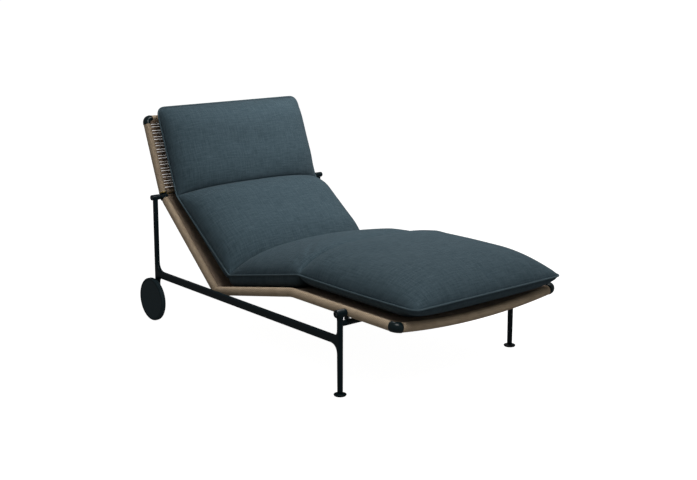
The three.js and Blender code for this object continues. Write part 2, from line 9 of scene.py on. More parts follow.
import bmesh
import bpy
import numpy as np
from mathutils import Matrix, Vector

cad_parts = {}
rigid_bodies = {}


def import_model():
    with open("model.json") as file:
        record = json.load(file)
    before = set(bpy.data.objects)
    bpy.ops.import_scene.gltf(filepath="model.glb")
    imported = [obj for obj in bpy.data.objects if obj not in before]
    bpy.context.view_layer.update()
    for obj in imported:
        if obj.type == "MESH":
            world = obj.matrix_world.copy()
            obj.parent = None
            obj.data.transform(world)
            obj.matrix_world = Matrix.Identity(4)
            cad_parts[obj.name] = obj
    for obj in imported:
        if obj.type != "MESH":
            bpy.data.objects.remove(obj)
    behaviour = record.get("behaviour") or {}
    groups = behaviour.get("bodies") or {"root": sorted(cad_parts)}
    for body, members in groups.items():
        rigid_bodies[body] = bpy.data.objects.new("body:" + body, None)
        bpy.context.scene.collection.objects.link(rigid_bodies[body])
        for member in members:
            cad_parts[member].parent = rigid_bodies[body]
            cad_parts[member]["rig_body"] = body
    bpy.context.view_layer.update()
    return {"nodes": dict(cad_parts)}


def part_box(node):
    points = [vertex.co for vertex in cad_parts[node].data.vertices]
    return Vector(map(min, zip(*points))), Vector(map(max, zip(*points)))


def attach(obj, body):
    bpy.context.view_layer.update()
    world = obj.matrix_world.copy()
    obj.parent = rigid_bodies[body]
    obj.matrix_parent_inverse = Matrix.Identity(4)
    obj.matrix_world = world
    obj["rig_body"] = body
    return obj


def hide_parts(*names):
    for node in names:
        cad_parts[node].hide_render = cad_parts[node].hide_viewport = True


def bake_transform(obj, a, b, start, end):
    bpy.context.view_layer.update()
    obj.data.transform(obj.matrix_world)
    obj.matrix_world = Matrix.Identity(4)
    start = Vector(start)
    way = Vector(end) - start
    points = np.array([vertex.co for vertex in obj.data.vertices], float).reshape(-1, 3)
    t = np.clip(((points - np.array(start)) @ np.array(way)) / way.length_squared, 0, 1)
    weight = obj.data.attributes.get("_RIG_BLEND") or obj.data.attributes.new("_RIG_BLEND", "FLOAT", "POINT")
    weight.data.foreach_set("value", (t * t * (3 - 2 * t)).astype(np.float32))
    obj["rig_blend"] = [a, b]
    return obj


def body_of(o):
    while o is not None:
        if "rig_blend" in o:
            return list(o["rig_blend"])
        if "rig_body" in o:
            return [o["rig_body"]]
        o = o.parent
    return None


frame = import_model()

NODES = frame["nodes"]
MM = 0.001

foot_low, foot_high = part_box("glide_foot_left")
LEGS_Y = (foot_low[1] + foot_high[1]) / 2  # the front legs in the row frame, in metres

# ---- Camera --------------------

PHOTO_SIZE = (697, 480)
CAMERA_AT = (-2.7045, LEGS_Y - 2.7978, 1.3418)
CAMERA_TURN = 39.95  # degrees from +Y towards +X
CAMERA_DROP = 10.84  # degrees below level
CAMERA_LENS = 61.8
AXIS_ABOVE_MIDDLE = 44  # pixels from the photo's middle up to the optical axis

camera = bpy.data.objects.new("camera", bpy.data.cameras.new("camera"))
camera.data.lens = CAMERA_LENS
camera.data.sensor_width = 36
camera.data.shift_y = -AXIS_ABOVE_MIDDLE / PHOTO_SIZE[0]
camera.data.clip_end = 500
camera.location = CAMERA_AT
camera.rotation_euler = (math.radians(90 - CAMERA_DROP), 0, math.radians(-CAMERA_TURN))
bpy.context.scene.collection.objects.link(camera)
bpy.context.scene.camera = camera

# ---- The contour, as in the CAD model --------------------

SIDE_X = 396
TUBE_X = 360
CROWN = np.array([1217.0, 766.0])
AXLE = np.array([1104.0, 480.0])
HIP = np.array([753.0, 179.0])
KNEE = np.array([296.0, 271.0])
TOE = np.array([-221.0, 269.0])
KNEE_RADIUS = 160
CAP_LEG = 22
CAP_RADIUS = 21
BOW = 18  # the sag of the sling and the lower rail at mid width
RAIL_DROP = 4  # how far the end rails start below their corners
RAIL_BOW = 21  # how far they sag further at mid width
WRAP = (13, 16)
CAP = (14, 17)
RAIL_HALF = 335.8
LOWER_RAIL_UP = 18
LOWER_RAIL_HALF = 346.7
LOWER_WRAP, LOWER_WRAP_HALF = (7.5, 7.5), 343.2
FIT = 0.3  # the gap between pieces that meet


def unit(v):
    return np.asarray(v, float) / np.linalg.norm(v)


def unit_rows(rows):
    return rows / np.linalg.norm(rows, axis=1, keepdims=True)


def along(a, b):
    return unit(b - a)


def upper(way):
    """The seat side of a direction, or of rows of them, that run from foot to head."""
    return np.stack([-way[..., 1], way[..., 0]], axis=-1)


HEAD_WAY = along(AXLE, CROWN)
BACK_WAY = along(HIP, AXLE)
SEAT_WAY = along(KNEE, HIP)
LEG_WAY = along(TOE, KNEE)
HIP_BISECTOR = unit(upper(SEAT_WAY) + upper(BACK_WAY))


def metres(points):
    """Local millimetres to the row frame in metres."""
    p = np.asarray(points, float) * MM
    p[..., 1] += LEGS_Y
    return p


def at(x, yz):
    return np.array([x, yz[0], yz[1]], float)


def bend(start, corner, end, steps):
    t = np.linspace(0, 1, steps)[:, None]
    return (1 - t) ** 2 * start + 2 * t * (1 - t) * corner + t ** 2 * end


def in_space(x, yz):
    """Rows of (y, z), each with its x in front."""
    return np.column_stack([np.broadcast_to(x, len(yz)), yz])


def rounded_line(corners, radius, steps=24):
    """A side-view line of three corners with the middle one rounded."""
    a, b, c = (np.asarray(p, float) for p in corners)
    into, out = along(a, b), along(b, c)
    reach = radius * math.tan(math.acos(float(into @ out)) / 2)
    start, end = b - into * reach, b + out * reach
    return np.vstack([a, bend(start, b, end, steps), c])


def resampled(line, spacing):
    """Points every so many millimetres along a polyline, ends included."""
    line = np.asarray(line, float)
    run = run_of(line)
    count = max(2, int(round(run[-1] / spacing)) + 1)
    return read_at(np.linspace(0, run[-1], count), run, line)


def run_of(line):
    """How far along a polyline each of its points is."""
    return np.concatenate([[0], np.cumsum(np.linalg.norm(np.diff(line, axis=0), axis=1))])


def read_at(places, run, data):
    """Each column of data, given at run, read at other places."""
    return np.stack([np.interp(places, run, column) for column in data.T], axis=1)


def tangents(line):
    return unit_rows(np.gradient(line, axis=0))


# ---- Mesh helpers --------------------


def new_object(name, data, material=None):
    obj = bpy.data.objects.new(name, data)
    bpy.context.scene.collection.objects.link(obj)
    if material:
        data.materials.append(material)
    return obj


def grid_faces(rows, cols, wrap_rows=False, wrap_cols=False, first=0):
    """Vertex indices of the quads of a grid, numbered row by row."""
    i = np.arange(rows if wrap_rows else rows - 1)
    j = np.arange(cols if wrap_cols else cols - 1)
    i, j = np.meshgrid(i, j, indexing="ij")
    i2, j2 = (i + 1) % rows, (j + 1) % cols
    quads = np.stack([i * cols + j, i * cols + j2, i2 * cols + j2, i2 * cols + j], axis=-1)
    return quads.reshape(-1, 4) + first


def grid_uv(u, v, wrap_cols):
    """UV of each quad corner. u runs along the rows and v along the columns, in metres."""
    rows, cols = len(u), len(v) - (1 if wrap_cols else 0)
    i, j = np.meshgrid(np.arange(rows - 1), np.arange(cols if wrap_cols else cols - 1), indexing="ij")
    corners = [(i, j), (i, j + 1), (i + 1, j + 1), (i + 1, j)]
    return np.stack([np.stack([u[a], v[b]], axis=-1) for a, b in corners], axis=-2).reshape(-1, 2)


def mesh_from(name, points, faces, uv=None, smooth=True):
    """A mesh from vertices in metres and faces as lists or arrays of equal-length rows."""
    mesh = bpy.data.meshes.new(name)
    mesh.from_pydata(np.asarray(points).reshape(-1, 3).tolist(), [], [list(map(int, f)) for f in faces])
    if uv is not None:
        layer = mesh.uv_layers.new(name="lay")
        layer.data.foreach_set("uv", np.asarray(uv, np.float32).ravel())
    mesh.shade_smooth() if smooth else mesh.shade_flat()
    mesh.update()
    return mesh


def tubes(name, paths, rings, material, v_scale=0.014):
    """Closed tubes as one mesh. Each item of rings is (rows, sides, 3) in local millimetres."""
    points, faces, uvs, first = [], [], [], 0
    for path, ring in zip(paths, rings):
        rows, sides = ring.shape[:2]
        run = run_of(path) * MM
        points.append(metres(ring).reshape(-1, 3))
        faces.extend(grid_faces(rows, sides, wrap_cols=True, first=first).tolist())
        uvs.append(grid_uv(run, np.linspace(0, v_scale, sides + 1), True))
        for row, order in ((0, 1), (rows - 1, -1)):
            cap = (first + row * sides + np.arange(sides))[::-order]
            faces.append(cap.tolist())
            uvs.append(np.tile([run[row], 0], (sides, 1)))
        first += rows * sides
    mesh = mesh_from(name, np.vstack(points), faces, np.vstack(uvs))
    return new_object(name, mesh, material)


def outward(mesh, merge=None, collapse=False, fill=False):
    """Makes every normal face out. merge joins points closer than that many metres first."""
    bm = bmesh.new()
    bm.from_mesh(mesh)
    if merge:
        bmesh.ops.remove_doubles(bm, verts=bm.verts, dist=merge)
    if collapse:
        bmesh.ops.dissolve_degenerate(bm, edges=bm.edges, dist=merge)
    holes = [e for e in bm.edges if e.is_boundary] if fill else []
    if holes:
        bmesh.ops.holes_fill(bm, edges=holes)
    bmesh.ops.recalc_face_normals(bm, faces=bm.faces)
    bm.to_mesh(mesh)
    bm.free()


def sweep(name, path, across, normal, half, material, sides=32, ends=2.0):
    """An oval tube along a path with rounded lips. half is (along across, along normal)."""
    path = np.asarray(path, float)
    angle = np.linspace(0, 2 * math.pi, sides, endpoint=False)
    run = run_of(path)
    extra = [ends * (1 - math.cos(a)) for a in np.linspace(0, math.pi / 2, 5)]
    stations = sorted(set(np.round(list(run) + extra + [run[-1] - e for e in extra], 4)))
    centre, a, n = (read_at(stations, run, data) for data in (path, across, normal))
    edge = np.minimum(stations, run[-1] - np.asarray(stations))
    lip = np.clip(1 - edge / ends, 0, 1)
    inset = ends * (1 - np.sqrt(1 - lip ** 2))
    ring = (
        centre[:, None]
        + a[:, None] * ((half[0] - inset)[:, None] * np.cos(angle))[..., None]
        + n[:, None] * ((half[1] - inset)[:, None] * np.sin(angle))[..., None]
    )
    obj = tubes(name, [centre], [ring], material)
    outward(obj.data)
    return obj


def lathe(name, profile, side, centre, material, sides=64):
    """A round piece about X. The profile is (x away from the middle, radius) pairs."""
    profile = np.asarray(profile, float)
    angle = np.linspace(0, 2 * math.pi, sides, endpoint=False)
    points, faces = [], []
    for x, radius in profile:
        ring = np.stack(
            [
                np.full(sides, side * x),
                centre[0] + radius * np.cos(angle),
                centre[1] + radius * np.sin(angle),
            ],
            axis=1,
        )
        points.append(metres(ring))
    faces.extend(grid_faces(len(profile), sides, wrap_cols=True).tolist())
    mesh = mesh_from(name, np.vstack(points), faces)
    outward(mesh, merge=1e-6, fill=True)
    mesh.shade_smooth()
    obj = new_object(name, mesh, material)
    obj.data.set_sharp_from_angle(angle=math.radians(32))
    return obj


def baked(obj):
    """Applies an object's modifiers."""
    depsgraph = bpy.context.evaluated_depsgraph_get()
    mesh = bpy.data.meshes.new_from_object(obj.evaluated_get(depsgraph))
    old = obj.data
    obj.modifiers.clear()
    obj.data = mesh
    bpy.data.meshes.remove(old)
    return obj


def melted(obj, look, voxel, rounds, factor=0.5):
    """Fuses an object into one even skin and softens its edges, as a casting's are."""
    remesh = obj.modifiers.new("remesh", "REMESH")
    remesh.mode = "VOXEL"
    remesh.voxel_size = voxel * MM
    smooth = obj.modifiers.new("smooth", "SMOOTH")
    smooth.factor = factor
    smooth.iterations = rounds
    baked(obj)
    if not obj.data.materials:
        obj.data.materials.append(look)
    obj.data.shade_smooth()
    return obj


def stands_for(obj, *nodes, body=None, slot=None):
    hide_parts(*nodes)
    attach(obj, body or body_of(NODES[nodes[0]])[0])
    return obj


# ---- Materials --------------------


class Look:
    """A material and a short way to add nodes to it."""

    def __init__(self, name, roughness, metallic=0.0, **sockets):
        self.material = bpy.data.materials.new(name)
        self.material.use_nodes = True
        self.tree = self.material.node_tree
        self.shader = self.tree.nodes["Principled BSDF"]
        self.shader.inputs["Roughness"].default_value = roughness
        self.shader.inputs["Metallic"].default_value = metallic
        for socket, value in sockets.items():
            self.shader.inputs[socket.replace("_", " ")].default_value = value

    def node(self, kind, inputs=None, **settings):
        node = self.tree.nodes.new("ShaderNode" + kind)
        for key, value in settings.items():
            setattr(node, key, value)
        for key, value in (inputs or {}).items():
            socket = node.inputs[key]
            if isinstance(value, bpy.types.NodeSocket):
                self.tree.links.new(value, socket)
            else:
                socket.default_value = value
        return node

    def maths(self, operation, a, b=0.0):
        return self.node("Math", {0: a, 1: b}, operation=operation).outputs[0]

    def coordinates(self, kind, scale=(1, 1, 1)):
        source = self.node("TexCoord").outputs[kind]
        return self.node("Mapping", {"Vector": source, "Scale": scale}).outputs[0]

    def noise(self, vector, scale, detail=3.0, roughness=0.5):
        inputs = {"Vector": vector, "Scale": scale, "Detail": detail, "Roughness": roughness}
        return self.node("TexNoise", inputs).outputs["Fac"]

    def spread(self, value, low, high, to_low=0.0, to_high=1.0):
        inputs = {"Value": value, "From Min": low, "From Max": high, "To Min": to_low, "To Max": to_high}
        return self.node("MapRange", inputs).outputs[0]

    def mix(self, factor, a, b, blend="MIX"):
        node = self.node("Mix", data_type="RGBA", blend_type=blend)
        for key, value in ((0, factor), (6, a), (7, b)):
            if isinstance(value, bpy.types.NodeSocket):
                self.tree.links.new(value, node.inputs[key])
            else:
                node.inputs[key].default_value = value if key == 0 else (*value, 1.0)
        return node.outputs[2]

    def finish(self, colour, height=None, distance=0.0005, strength=0.6):
        self.tree.links.new(colour, self.shader.inputs["Base Color"])
        if height is not None:
            inputs = {"Height": height, "Distance": distance, "Strength": strength}
            bump = self.node("Bump", inputs)
            self.tree.links.new(bump.outputs[0], self.shader.inputs["Normal"])
        return self.material


def fabric_look(name, dark, light):
    """Plain-woven outdoor cloth with slubs. UV is in metres, u along the pad."""
    look = Look(name, 0.92, Sheen_Weight=0.03, Sheen_Roughness=0.5, Specular_IOR_Level=0.12)
    uv = look.coordinates("UV")
    pitch = 0.0013
    warp = look.node("TexWave", {"Vector": uv, "Scale": math.pi / (10 * pitch)}, bands_direction="X")
    weft = look.node("TexWave", {"Vector": uv, "Scale": math.pi / (10 * pitch)}, bands_direction="Y")
    cell = look.node("TexChecker", {"Vector": uv, "Scale": 1 / pitch}).outputs["Fac"]
    over = look.maths("MULTIPLY", warp.outputs["Fac"], cell)
    under = look.maths("MULTIPLY", weft.outputs["Fac"], look.maths("SUBTRACT", 1.0, cell))
    weave = look.maths("ADD", over, under)
    slub_u = look.noise(look.coordinates("UV", (22, 190, 1)), 1.0, 3.0)
    slub_v = look.noise(look.coordinates("UV", (190, 22, 1)), 1.0, 3.0)
    slubs = look.spread(look.maths("ADD", slub_u, slub_v), 0.7, 1.3)
    mottle = look.noise(look.coordinates("Object"), 9.0, 4.0)
    tone = look.maths("ADD", look.maths("MULTIPLY", slubs, 0.75), look.maths("MULTIPLY", mottle, 0.25))
    colour = look.mix(tone, dark, light)
    # Painted shade: the weave's low points, the gaps between threads, are painted darker.
    colour = look.mix(look.spread(weave, 0.0, 0.9, 0.35, 0.0), colour, tuple(0.45 * c for c in dark))
    height = look.maths("ADD", weave, look.maths("MULTIPLY", slubs, 0.8))
    return look.finish(colour, height, 0.00025, 0.9)


def rope_look(name, dark, light, speckle=0.35):
    """Twisted outdoor rope. UV u runs along the rope and v once round it."""
    look = Look(name, 0.88, Specular_IOR_Level=0.15, Sheen_Weight=0.03)
    uv = look.coordinates("UV", (1 / 0.005, 1 / 0.014, 1))
    split = look.node("SeparateXYZ", {"Vector": uv})
    twist = look.maths("ADD", split.outputs[0], look.maths("MULTIPLY", split.outputs[1], 2.0))
    strands = look.maths("SINE", look.maths("MULTIPLY", twist, 2 * math.pi))
    strands = look.spread(strands, -1.0, 1.0)
    fibre = look.noise(look.coordinates("UV", (2600, 500, 1)), 1.0, 3.0)
    patch = look.noise(look.coordinates("Object"), 34.0, 3.0)
    fleck, cloud = look.maths("MULTIPLY", fibre, speckle), look.maths("MULTIPLY", patch, 1 - speckle)
    tone = look.maths("ADD", fleck, cloud)
    colour = look.mix(look.spread(tone, 0.3, 0.7), dark, light)
    # Painted shade: the grooves between the strands are painted darker.
    colour = look.mix(look.spread(strands, 0.0, 0.5, 0.45, 0.0), colour, tuple(0.4 * c for c in dark))
    height = look.maths("ADD", strands, look.maths("MULTIPLY", fibre, 0.4))
    return look.finish(colour, height, 0.0004, 0.7)


def coated_look(name, dark, light, roughness, grain=420.0, depth=0.00012, metallic=0.0, coat=0.0):
    """Powder coat, moulded plastic or brushed metal, with a fine grain and broad tone shifts."""
    look = Look(name, roughness, metallic, Coat_Weight=coat)
    if not metallic:
        look.shader.inputs["Specular IOR Level"].default_value = 0.18
    where = look.coordinates("Object")
    broad = look.noise(where, 6.0, 3.0)
    fine = look.noise(where, grain, 2.0)
    tone = look.maths("ADD", look.maths("MULTIPLY", broad, 0.7), look.maths("MULTIPLY", fine, 0.3))
    colour = look.mix(look.spread(tone, 0.3, 0.7), dark, light)
    shade = look.spread(broad, 0.3, 0.7, roughness - 0.05, roughness + 0.05)
    look.tree.links.new(shade, look.shader.inputs["Roughness"])
    return look.finish(colour, fine, depth, 0.5)


FABRIC = fabric_look("mattress_fabric", (0.038, 0.065, 0.081), (0.077, 0.117, 0.140))
PIPING = fabric_look("piping_fabric", (0.066, 0.102, 0.121), (0.098, 0.142, 0.166))
ROPE = rope_look("rope_wrap", (0.46, 0.355, 0.245), (0.62, 0.49, 0.345))
HEAD_SLING_ROPE = rope_look("head_sling_rope", (0.22, 0.155, 0.110), (0.36, 0.26, 0.185))
SLING_ROPE = rope_look("sling_rope", (0.150, 0.112, 0.083), (0.42, 0.315, 0.235), 0.6)
COAT = coated_look("powder_coat", (0.0020, 0.0080, 0.0110), (0.0030, 0.0105, 0.0145), 0.40)
ALUMINIUM = coated_look("tube_aluminium", (0.42, 0.43, 0.44), (0.52, 0.53, 0.54), 0.35, metallic=1.0)
STEEL = coated_look("steel", (0.10, 0.11, 0.12), (0.15, 0.16, 0.17), 0.35, metallic=1.0)
BUSH_BRONZE = coated_look("oiled_bronze", (0.016, 0.015, 0.012), (0.026, 0.024, 0.018), 0.5)
# Painted highlight: the caps carry the castings' powder coat painted lighter, with a glossier finish.
CAP_COAT_PAINTED_LIGHTER = coated_look("cap_coat_painted_lighter", (0.0035, 0.0120, 0.0145), (0.0050, 0.0150, 0.0180), 0.30, coat=0.25)
# Painted highlight: gold for the lips over the axle, standing in for light caught on the wraps' lower edges.
LIP_GOLD_PAINTED_HIGHLIGHT = coated_look("bronze", (0.30, 0.20, 0.04), (0.42, 0.29, 0.07), 0.38, metallic=0.5)
NYLON = coated_look("glide_nylon", (0.012, 0.013, 0.014), (0.02, 0.021, 0.022), 0.5)
PLASTIC = coated_look("wheel_plastic", (0.012, 0.026, 0.032), (0.016, 0.033, 0.040), 0.5, grain=700.0)
RUBBER = coated_look("tyre_rubber", (0.012, 0.024, 0.029), (0.017, 0.031, 0.037), 0.75, grain=900.0)

# CAD nodes that keep their shape: hidden tubes, glide pads, washers and the wheels' inner parts.
NODE_LOOKS = {
    "_tube_": ALUMINIUM, "_rail": ALUMINIUM, "glide_pad": NYLON, "wheel_bush": NYLON,
    "wheel_axle": STEEL, "friction_washer": STEEL,
}
for node_name, node in NODES.items():
    for part, look in NODE_LOOKS.items():
        if part in node_name and not node_name.endswith("_wrap"):
            for material_slot in node.material_slots:
                material_slot.material = look

SIDES = (("left", 1), ("right", -1))

# ---- Side frames --------------------

RAIL_Z, RAIL_HEIGHT = 181, 28
CASTING_THICK, CASTING_EDGE = 17, 5.5
UPRIGHT_WIDTH, LEG_WIDTH, LEG_FOOT_Z = 19, 18, 9
BARREL_OUTER_X = 414.5
SCREW_RECESS = 6
FRONT_BARREL = {"centre": (0, 271), "radius": 13, "inner_x": 373.4}
REAR_BARREL = {"centre": tuple(AXLE), "radius": 10.5, "inner_x": 377.5}
BOSS_RADIUS = 13.5
HUB = (AXLE[0] - UPRIGHT_WIDTH / 2 + BOSS_RADIUS, 83)


def curve_to(points, control, end, steps=14):
    start = np.asarray(points[-1], float)
    control, end = np.asarray(control, float), np.asarray(end, float)
    for t in np.linspace(0, 1, steps + 1)[1:]:
        points.append((1 - t) ** 2 * start + 2 * t * (1 - t) * control + t ** 2 * end)


def casting_outline():
    """Front leg, lower rail and rear upright in one outline."""
    leg = LEG_WIDTH / 2
    front, back = AXLE[0] - UPRIGHT_WIDTH / 2, AXLE[0] + UPRIGHT_WIDTH / 2
    top, bottom = RAIL_Z + RAIL_HEIGHT / 2, RAIL_Z - RAIL_HEIGHT / 2
    leg_top, flare = FRONT_BARREL["centre"][1], 4
    points = [(-leg + 1, LEG_FOOT_Z), (leg - 1, LEG_FOOT_Z), (leg, bottom - 34)]
    curve_to(points, (leg, bottom), (leg + 34, bottom))
    points.append((front - 26, bottom))
    curve_to(points, (front, bottom), (front, bottom - 22))
    for a in np.linspace(math.pi, 2 * math.pi, 24):
        points.append((HUB[0] + BOSS_RADIUS * math.cos(a), HUB[1] + BOSS_RADIUS * math.sin(a)))
    points += [(back, bottom - 20), (back, AXLE[1]), (front, AXLE[1]), (front, top + 36)]
    curve_to(points, (front, top), (front - 36, top))
    points.append((leg + 22, top))
    curve_to(points, (leg, top), (leg, top + 22))
    points += [(leg, leg_top - 26), (leg + flare, leg_top), (-leg - flare, leg_top), (-leg, leg_top - 26)]
    return np.array([np.asarray(p, float) for p in points])


def side_frame(word, side):
    curve = bpy.data.curves.new("casting", "CURVE")
    curve.dimensions = "2D"
    curve.fill_mode = "BOTH"
    curve.extrude = (CASTING_THICK / 2 - CASTING_EDGE) * MM
    curve.bevel_depth = CASTING_EDGE * MM
    curve.bevel_resolution = 4
    curve.offset = -CASTING_EDGE * MM
    outline = casting_outline()
    spline = curve.splines.new("POLY")
    spline.points.add(len(outline) - 1)
    for point, (y, z) in zip(spline.points, outline):
        point.co = (y * MM, z * MM, 0, 1)
    spline.use_cyclic_u = True
    plate = new_object("casting", curve)
    bpy.context.view_layer.update()
    mesh = bpy.data.meshes.new_from_object(plate.evaluated_get(bpy.context.evaluated_depsgraph_get()))
    bpy.data.objects.remove(plate)
    bpy.data.curves.remove(curve)
    bm = bmesh.new()
    bm.from_mesh(mesh)
    for v in bm.verts:
        y, z, x = v.co
        v.co = (side * SIDE_X * MM + x, y + LEGS_Y, z)
    for spec in (FRONT_BARREL, REAR_BARREL):
        r, x1 = spec["radius"], BARREL_OUTER_X
        profile = [(spec["inner_x"], 0), (spec["inner_x"], r - 1)]
        profile += [(spec["inner_x"] + 1, r), (x1 - 3, r)]
        profile += [(x1 - 3 + 3 * math.sin(a), r - 3 + 3 * math.cos(a)) for a in (0.4, 0.8, 1.2)]
        profile += [(x1, r - 3), (x1, 6.8), (x1 - SCREW_RECESS, 6.8), (x1 - SCREW_RECESS, 0)]
        barrel = lathe("barrel", profile, side, spec["centre"], None, 40)
        bm.from_mesh(barrel.data)
        bpy.data.objects.remove(barrel)
    bmesh.ops.recalc_face_normals(bm, faces=bm.faces)
    bm.to_mesh(mesh)
    bm.free()
    obj = new_object(f"side_casting_{word}", mesh, COAT)
    melted(obj, COAT, 1.7, 5)
    stands_for(obj, f"side_frame_{word}", slot="powder_coat")


def hardware(word, side):
    foot = [
        (0, 2.5), (20, 2.5), (20.7, 2.8), (21, 3.4), (21, 4.4), (20.4, 5.2), (18, 6.4),
        (13, 7.6), (8, 8.7), (4, 8.7), (4, 44), (0, 44),
    ]
    angle = np.linspace(0, 2 * math.pi, 48, endpoint=False)
    rings = [
        np.stack([side * SIDE_X + r * np.cos(angle), r * np.sin(angle), np.full(48, z)], axis=1)
        for r, z in foot
    ]
    mesh = mesh_from(f"glide_{word}", metres(np.vstack(rings)), grid_faces(len(foot), 48, wrap_cols=True))
    outward(mesh, merge=1e-6)
    obj = new_object(f"glide_plate_{word}", mesh, COAT)
    obj.data.shade_smooth()
    obj.data.set_sharp_from_angle(angle=math.radians(40))
    stands_for(obj, f"glide_foot_{word}", slot="powder_coat")
    for label, spec, tip in (("front", FRONT_BARREL, TUBE_X - 7), ("rear", REAR_BARREL, 349.5)):
        x = BARREL_OUTER_X - SCREW_RECESS + FIT
        profile = [
            (tip, 0), (tip, 3.4), (tip + 0.6, 4), (x, 4), (x, 6.2), (x + 2.2, 6.2),
            (x + 3.4, 5.6), (x + 4.1, 4.4), (x + 4.3, 3.2), (x + 2.2, 2.9), (x + 2.2, 0),
        ]
        obj = lathe(f"{label}_screw_{word}", profile, side, spec["centre"], STEEL, 36)
        stands_for(obj, f"{label}_bolt_{word}", slot="steel")


def from_node(node, name, look, voxel, rounds, slot):
    """A softened copy of a CAD piece."""
    mesh = NODES[node].data.copy()
    mesh.materials.clear()
    obj = new_object(name, mesh, look)
    melted(obj, look, voxel, rounds)
    return stands_for(obj, node, slot=slot)


for word, side in SIDES:
    side_frame(word, side)
    hardware(word, side)
    from_node(f"seat_lug_{word}", f"saddle_{word}", COAT, 0.8, 4, "powder_coat")
    from_node(f"head_hinge_{word}", f"head_knuckle_{word}", COAT, 0.8, 5, "powder_coat")
    from_node(f"back_hinge_{word}", f"back_knuckle_{word}", COAT, 0.8, 5, "powder_coat")
    bush = [
        (343.5, 8.3), (343.5, 10.9), (344.1, 11.5), (347.2, 11.5), (347.2, 9.6), (374.5, 9.6),
        (374.5, 8.3), (343.5, 8.3),
    ]
    obj = lathe(f"bronze_bush_{word}", bush, side, AXLE, BUSH_BRONZE, 40)
    stands_for(obj, f"hinge_bush_{word}", slot="bronze")

X_AXIS = np.array([1.0, 0, 0])


def straight_bar(name, node, half_length, yz, half):
    """A coated bar from side to side. half is (along Y, along Z)."""
    path = np.array([at(-half_length, yz), at(half_length, yz)])
    across, normal = np.tile([0.0, 1, 0], (2, 1)), np.tile([0.0, 0, 1], (2, 1))
    obj = sweep(name, path, across, normal, half, COAT, ends=0.8)
    return stands_for(obj, node, slot="powder_coat")


BRACE_Z, BRACE_HALF = 237, (6, 10)
AXLE_HALF_LENGTH, AXLE_HALF = 377.2, (8, 8)
brace_half_length = SIDE_X - CASTING_THICK / 2 - FIT
straight_bar("front_brace", "front_crossbar", brace_half_length, (0, BRACE_Z), BRACE_HALF)
straight_bar("tilt_axle", "rear_axle", AXLE_HALF_LENGTH, AXLE, AXLE_HALF)

# ---- Rope wraps --------------------

ROPE_PITCH = 4.67
ROPE_DEEP = 1.5  # half the rope's thickness, out from the tube
TURN_STEPS = 26
ROPE_SIDES = 8
FAN = 46  # how far from the hip the turns start to lean into the mitre


def rope_wrap(
    name, node, line, across, normal, half, mitres=(None, None), round_ends=(False, False)
):
    """One rope wound round an oval tube. line, across and normal are rows of 3-D vectors in mm."""
    run = run_of(line)
    inset = ROPE_PITCH / 2 * 0.9
    steps = int(run[-1] / ROPE_PITCH * TURN_STEPS)
    reach = np.linspace(inset - ROPE_PITCH, run[-1] - inset + ROPE_PITCH, steps)
    s = np.clip(reach, inset, run[-1] - inset)  # the first and the last turn close on themselves
    centre, a = read_at(s, run, line), read_at(s, run, across)
    n = unit_rows(read_at(s, run, normal))
    t = unit_rows(read_at(s, run, tangents(line)))
    theta = 2 * math.pi * reach / ROPE_PITCH
    shrink = np.ones_like(s)
    shift = np.zeros_like(s)
    width = np.full_like(s, ROPE_PITCH / 2)
    for end, (mitre, rounded) in enumerate(zip(mitres, round_ends)):
        edge = s if end == 0 else run[-1] - s
        if rounded:
            shrink -= 0.2 * np.clip(1 - edge / (1.5 * ROPE_PITCH), 0, 1) ** 2
        if mitre is not None:
            row = 0 if end == 0 else -1
            lean = float(mitre @ tangents(line)[row]) / float(mitre @ normal[row])
            fan = np.clip(1 - edge / FAN, 0, 1)
            height = half[1] * np.sin(theta)
            shift += lean * fan ** 2 * height
            slope = -2 * lean * fan / FAN * height * (1 if end == 0 else -1)
            width *= 1 + slope
    rx, ry = half[0] - ROPE_DEEP, half[1] - ROPE_DEEP
    spot = (
        centre
        + a * (rx * shrink * np.cos(theta))[:, None]
        + n * (ry * shrink * np.sin(theta))[:, None]
        + t * shift[:, None]
    )
    out = unit_rows(a * (np.cos(theta) / rx)[:, None] + n * (np.sin(theta) / ry)[:, None])
    phi = np.linspace(0, 2 * math.pi, ROPE_SIDES, endpoint=False)
    ring = (
        spot[:, None]
        + out[:, None] * (ROPE_DEEP * np.cos(phi))[None, :, None]
        + t[:, None] * (width[:, None] * np.sin(phi)[None])[..., None]
    )
    obj = tubes(name, [spot], [ring], ROPE)
    outward(obj.data)
    return stands_for(obj, node, slot="rope_wrap")


def side_rope(name, node, x, line, **options):
    line = resampled(line, 6)
    way = tangents(line)
    across = np.tile(X_AXIS, (len(line), 1))
    path, normal = in_space(x, line), in_space(0, upper(way))
    return rope_wrap(name, node, path, across, normal, WRAP, **options)


def bowed(centre, way, bow, half_length, bow_half, steps=40):
    """The line of a rail that sags by bow away from the mattress, with its section's axes."""
    down = -upper(way)
    t = np.linspace(-1, 1, steps + 1) * half_length / bow_half
    yz = np.asarray(centre)[None] + down[None] * (bow * (1 - t ** 2))[:, None]
    line = in_space(t * bow_half, yz)
    across = np.tile([0.0, way[0], way[1]], (len(t), 1))
    normal = np.cross(tangents(line), across)
    return line, across, normal


WRAP_END = 15.2  # the ropes' ends from the axle
HEAD_LINE = [AXLE + HEAD_WAY * WRAP_END, CROWN - HEAD_WAY * CAP_LEG]
BACK_LINE = [HIP, AXLE - BACK_WAY * WRAP_END]
SEAT_LINE = rounded_line([TOE + LEG_WAY * CAP_LEG, KNEE, HIP], KNEE_RADIUS)
HIP_MITRE = at(0, HIP_BISECTOR)

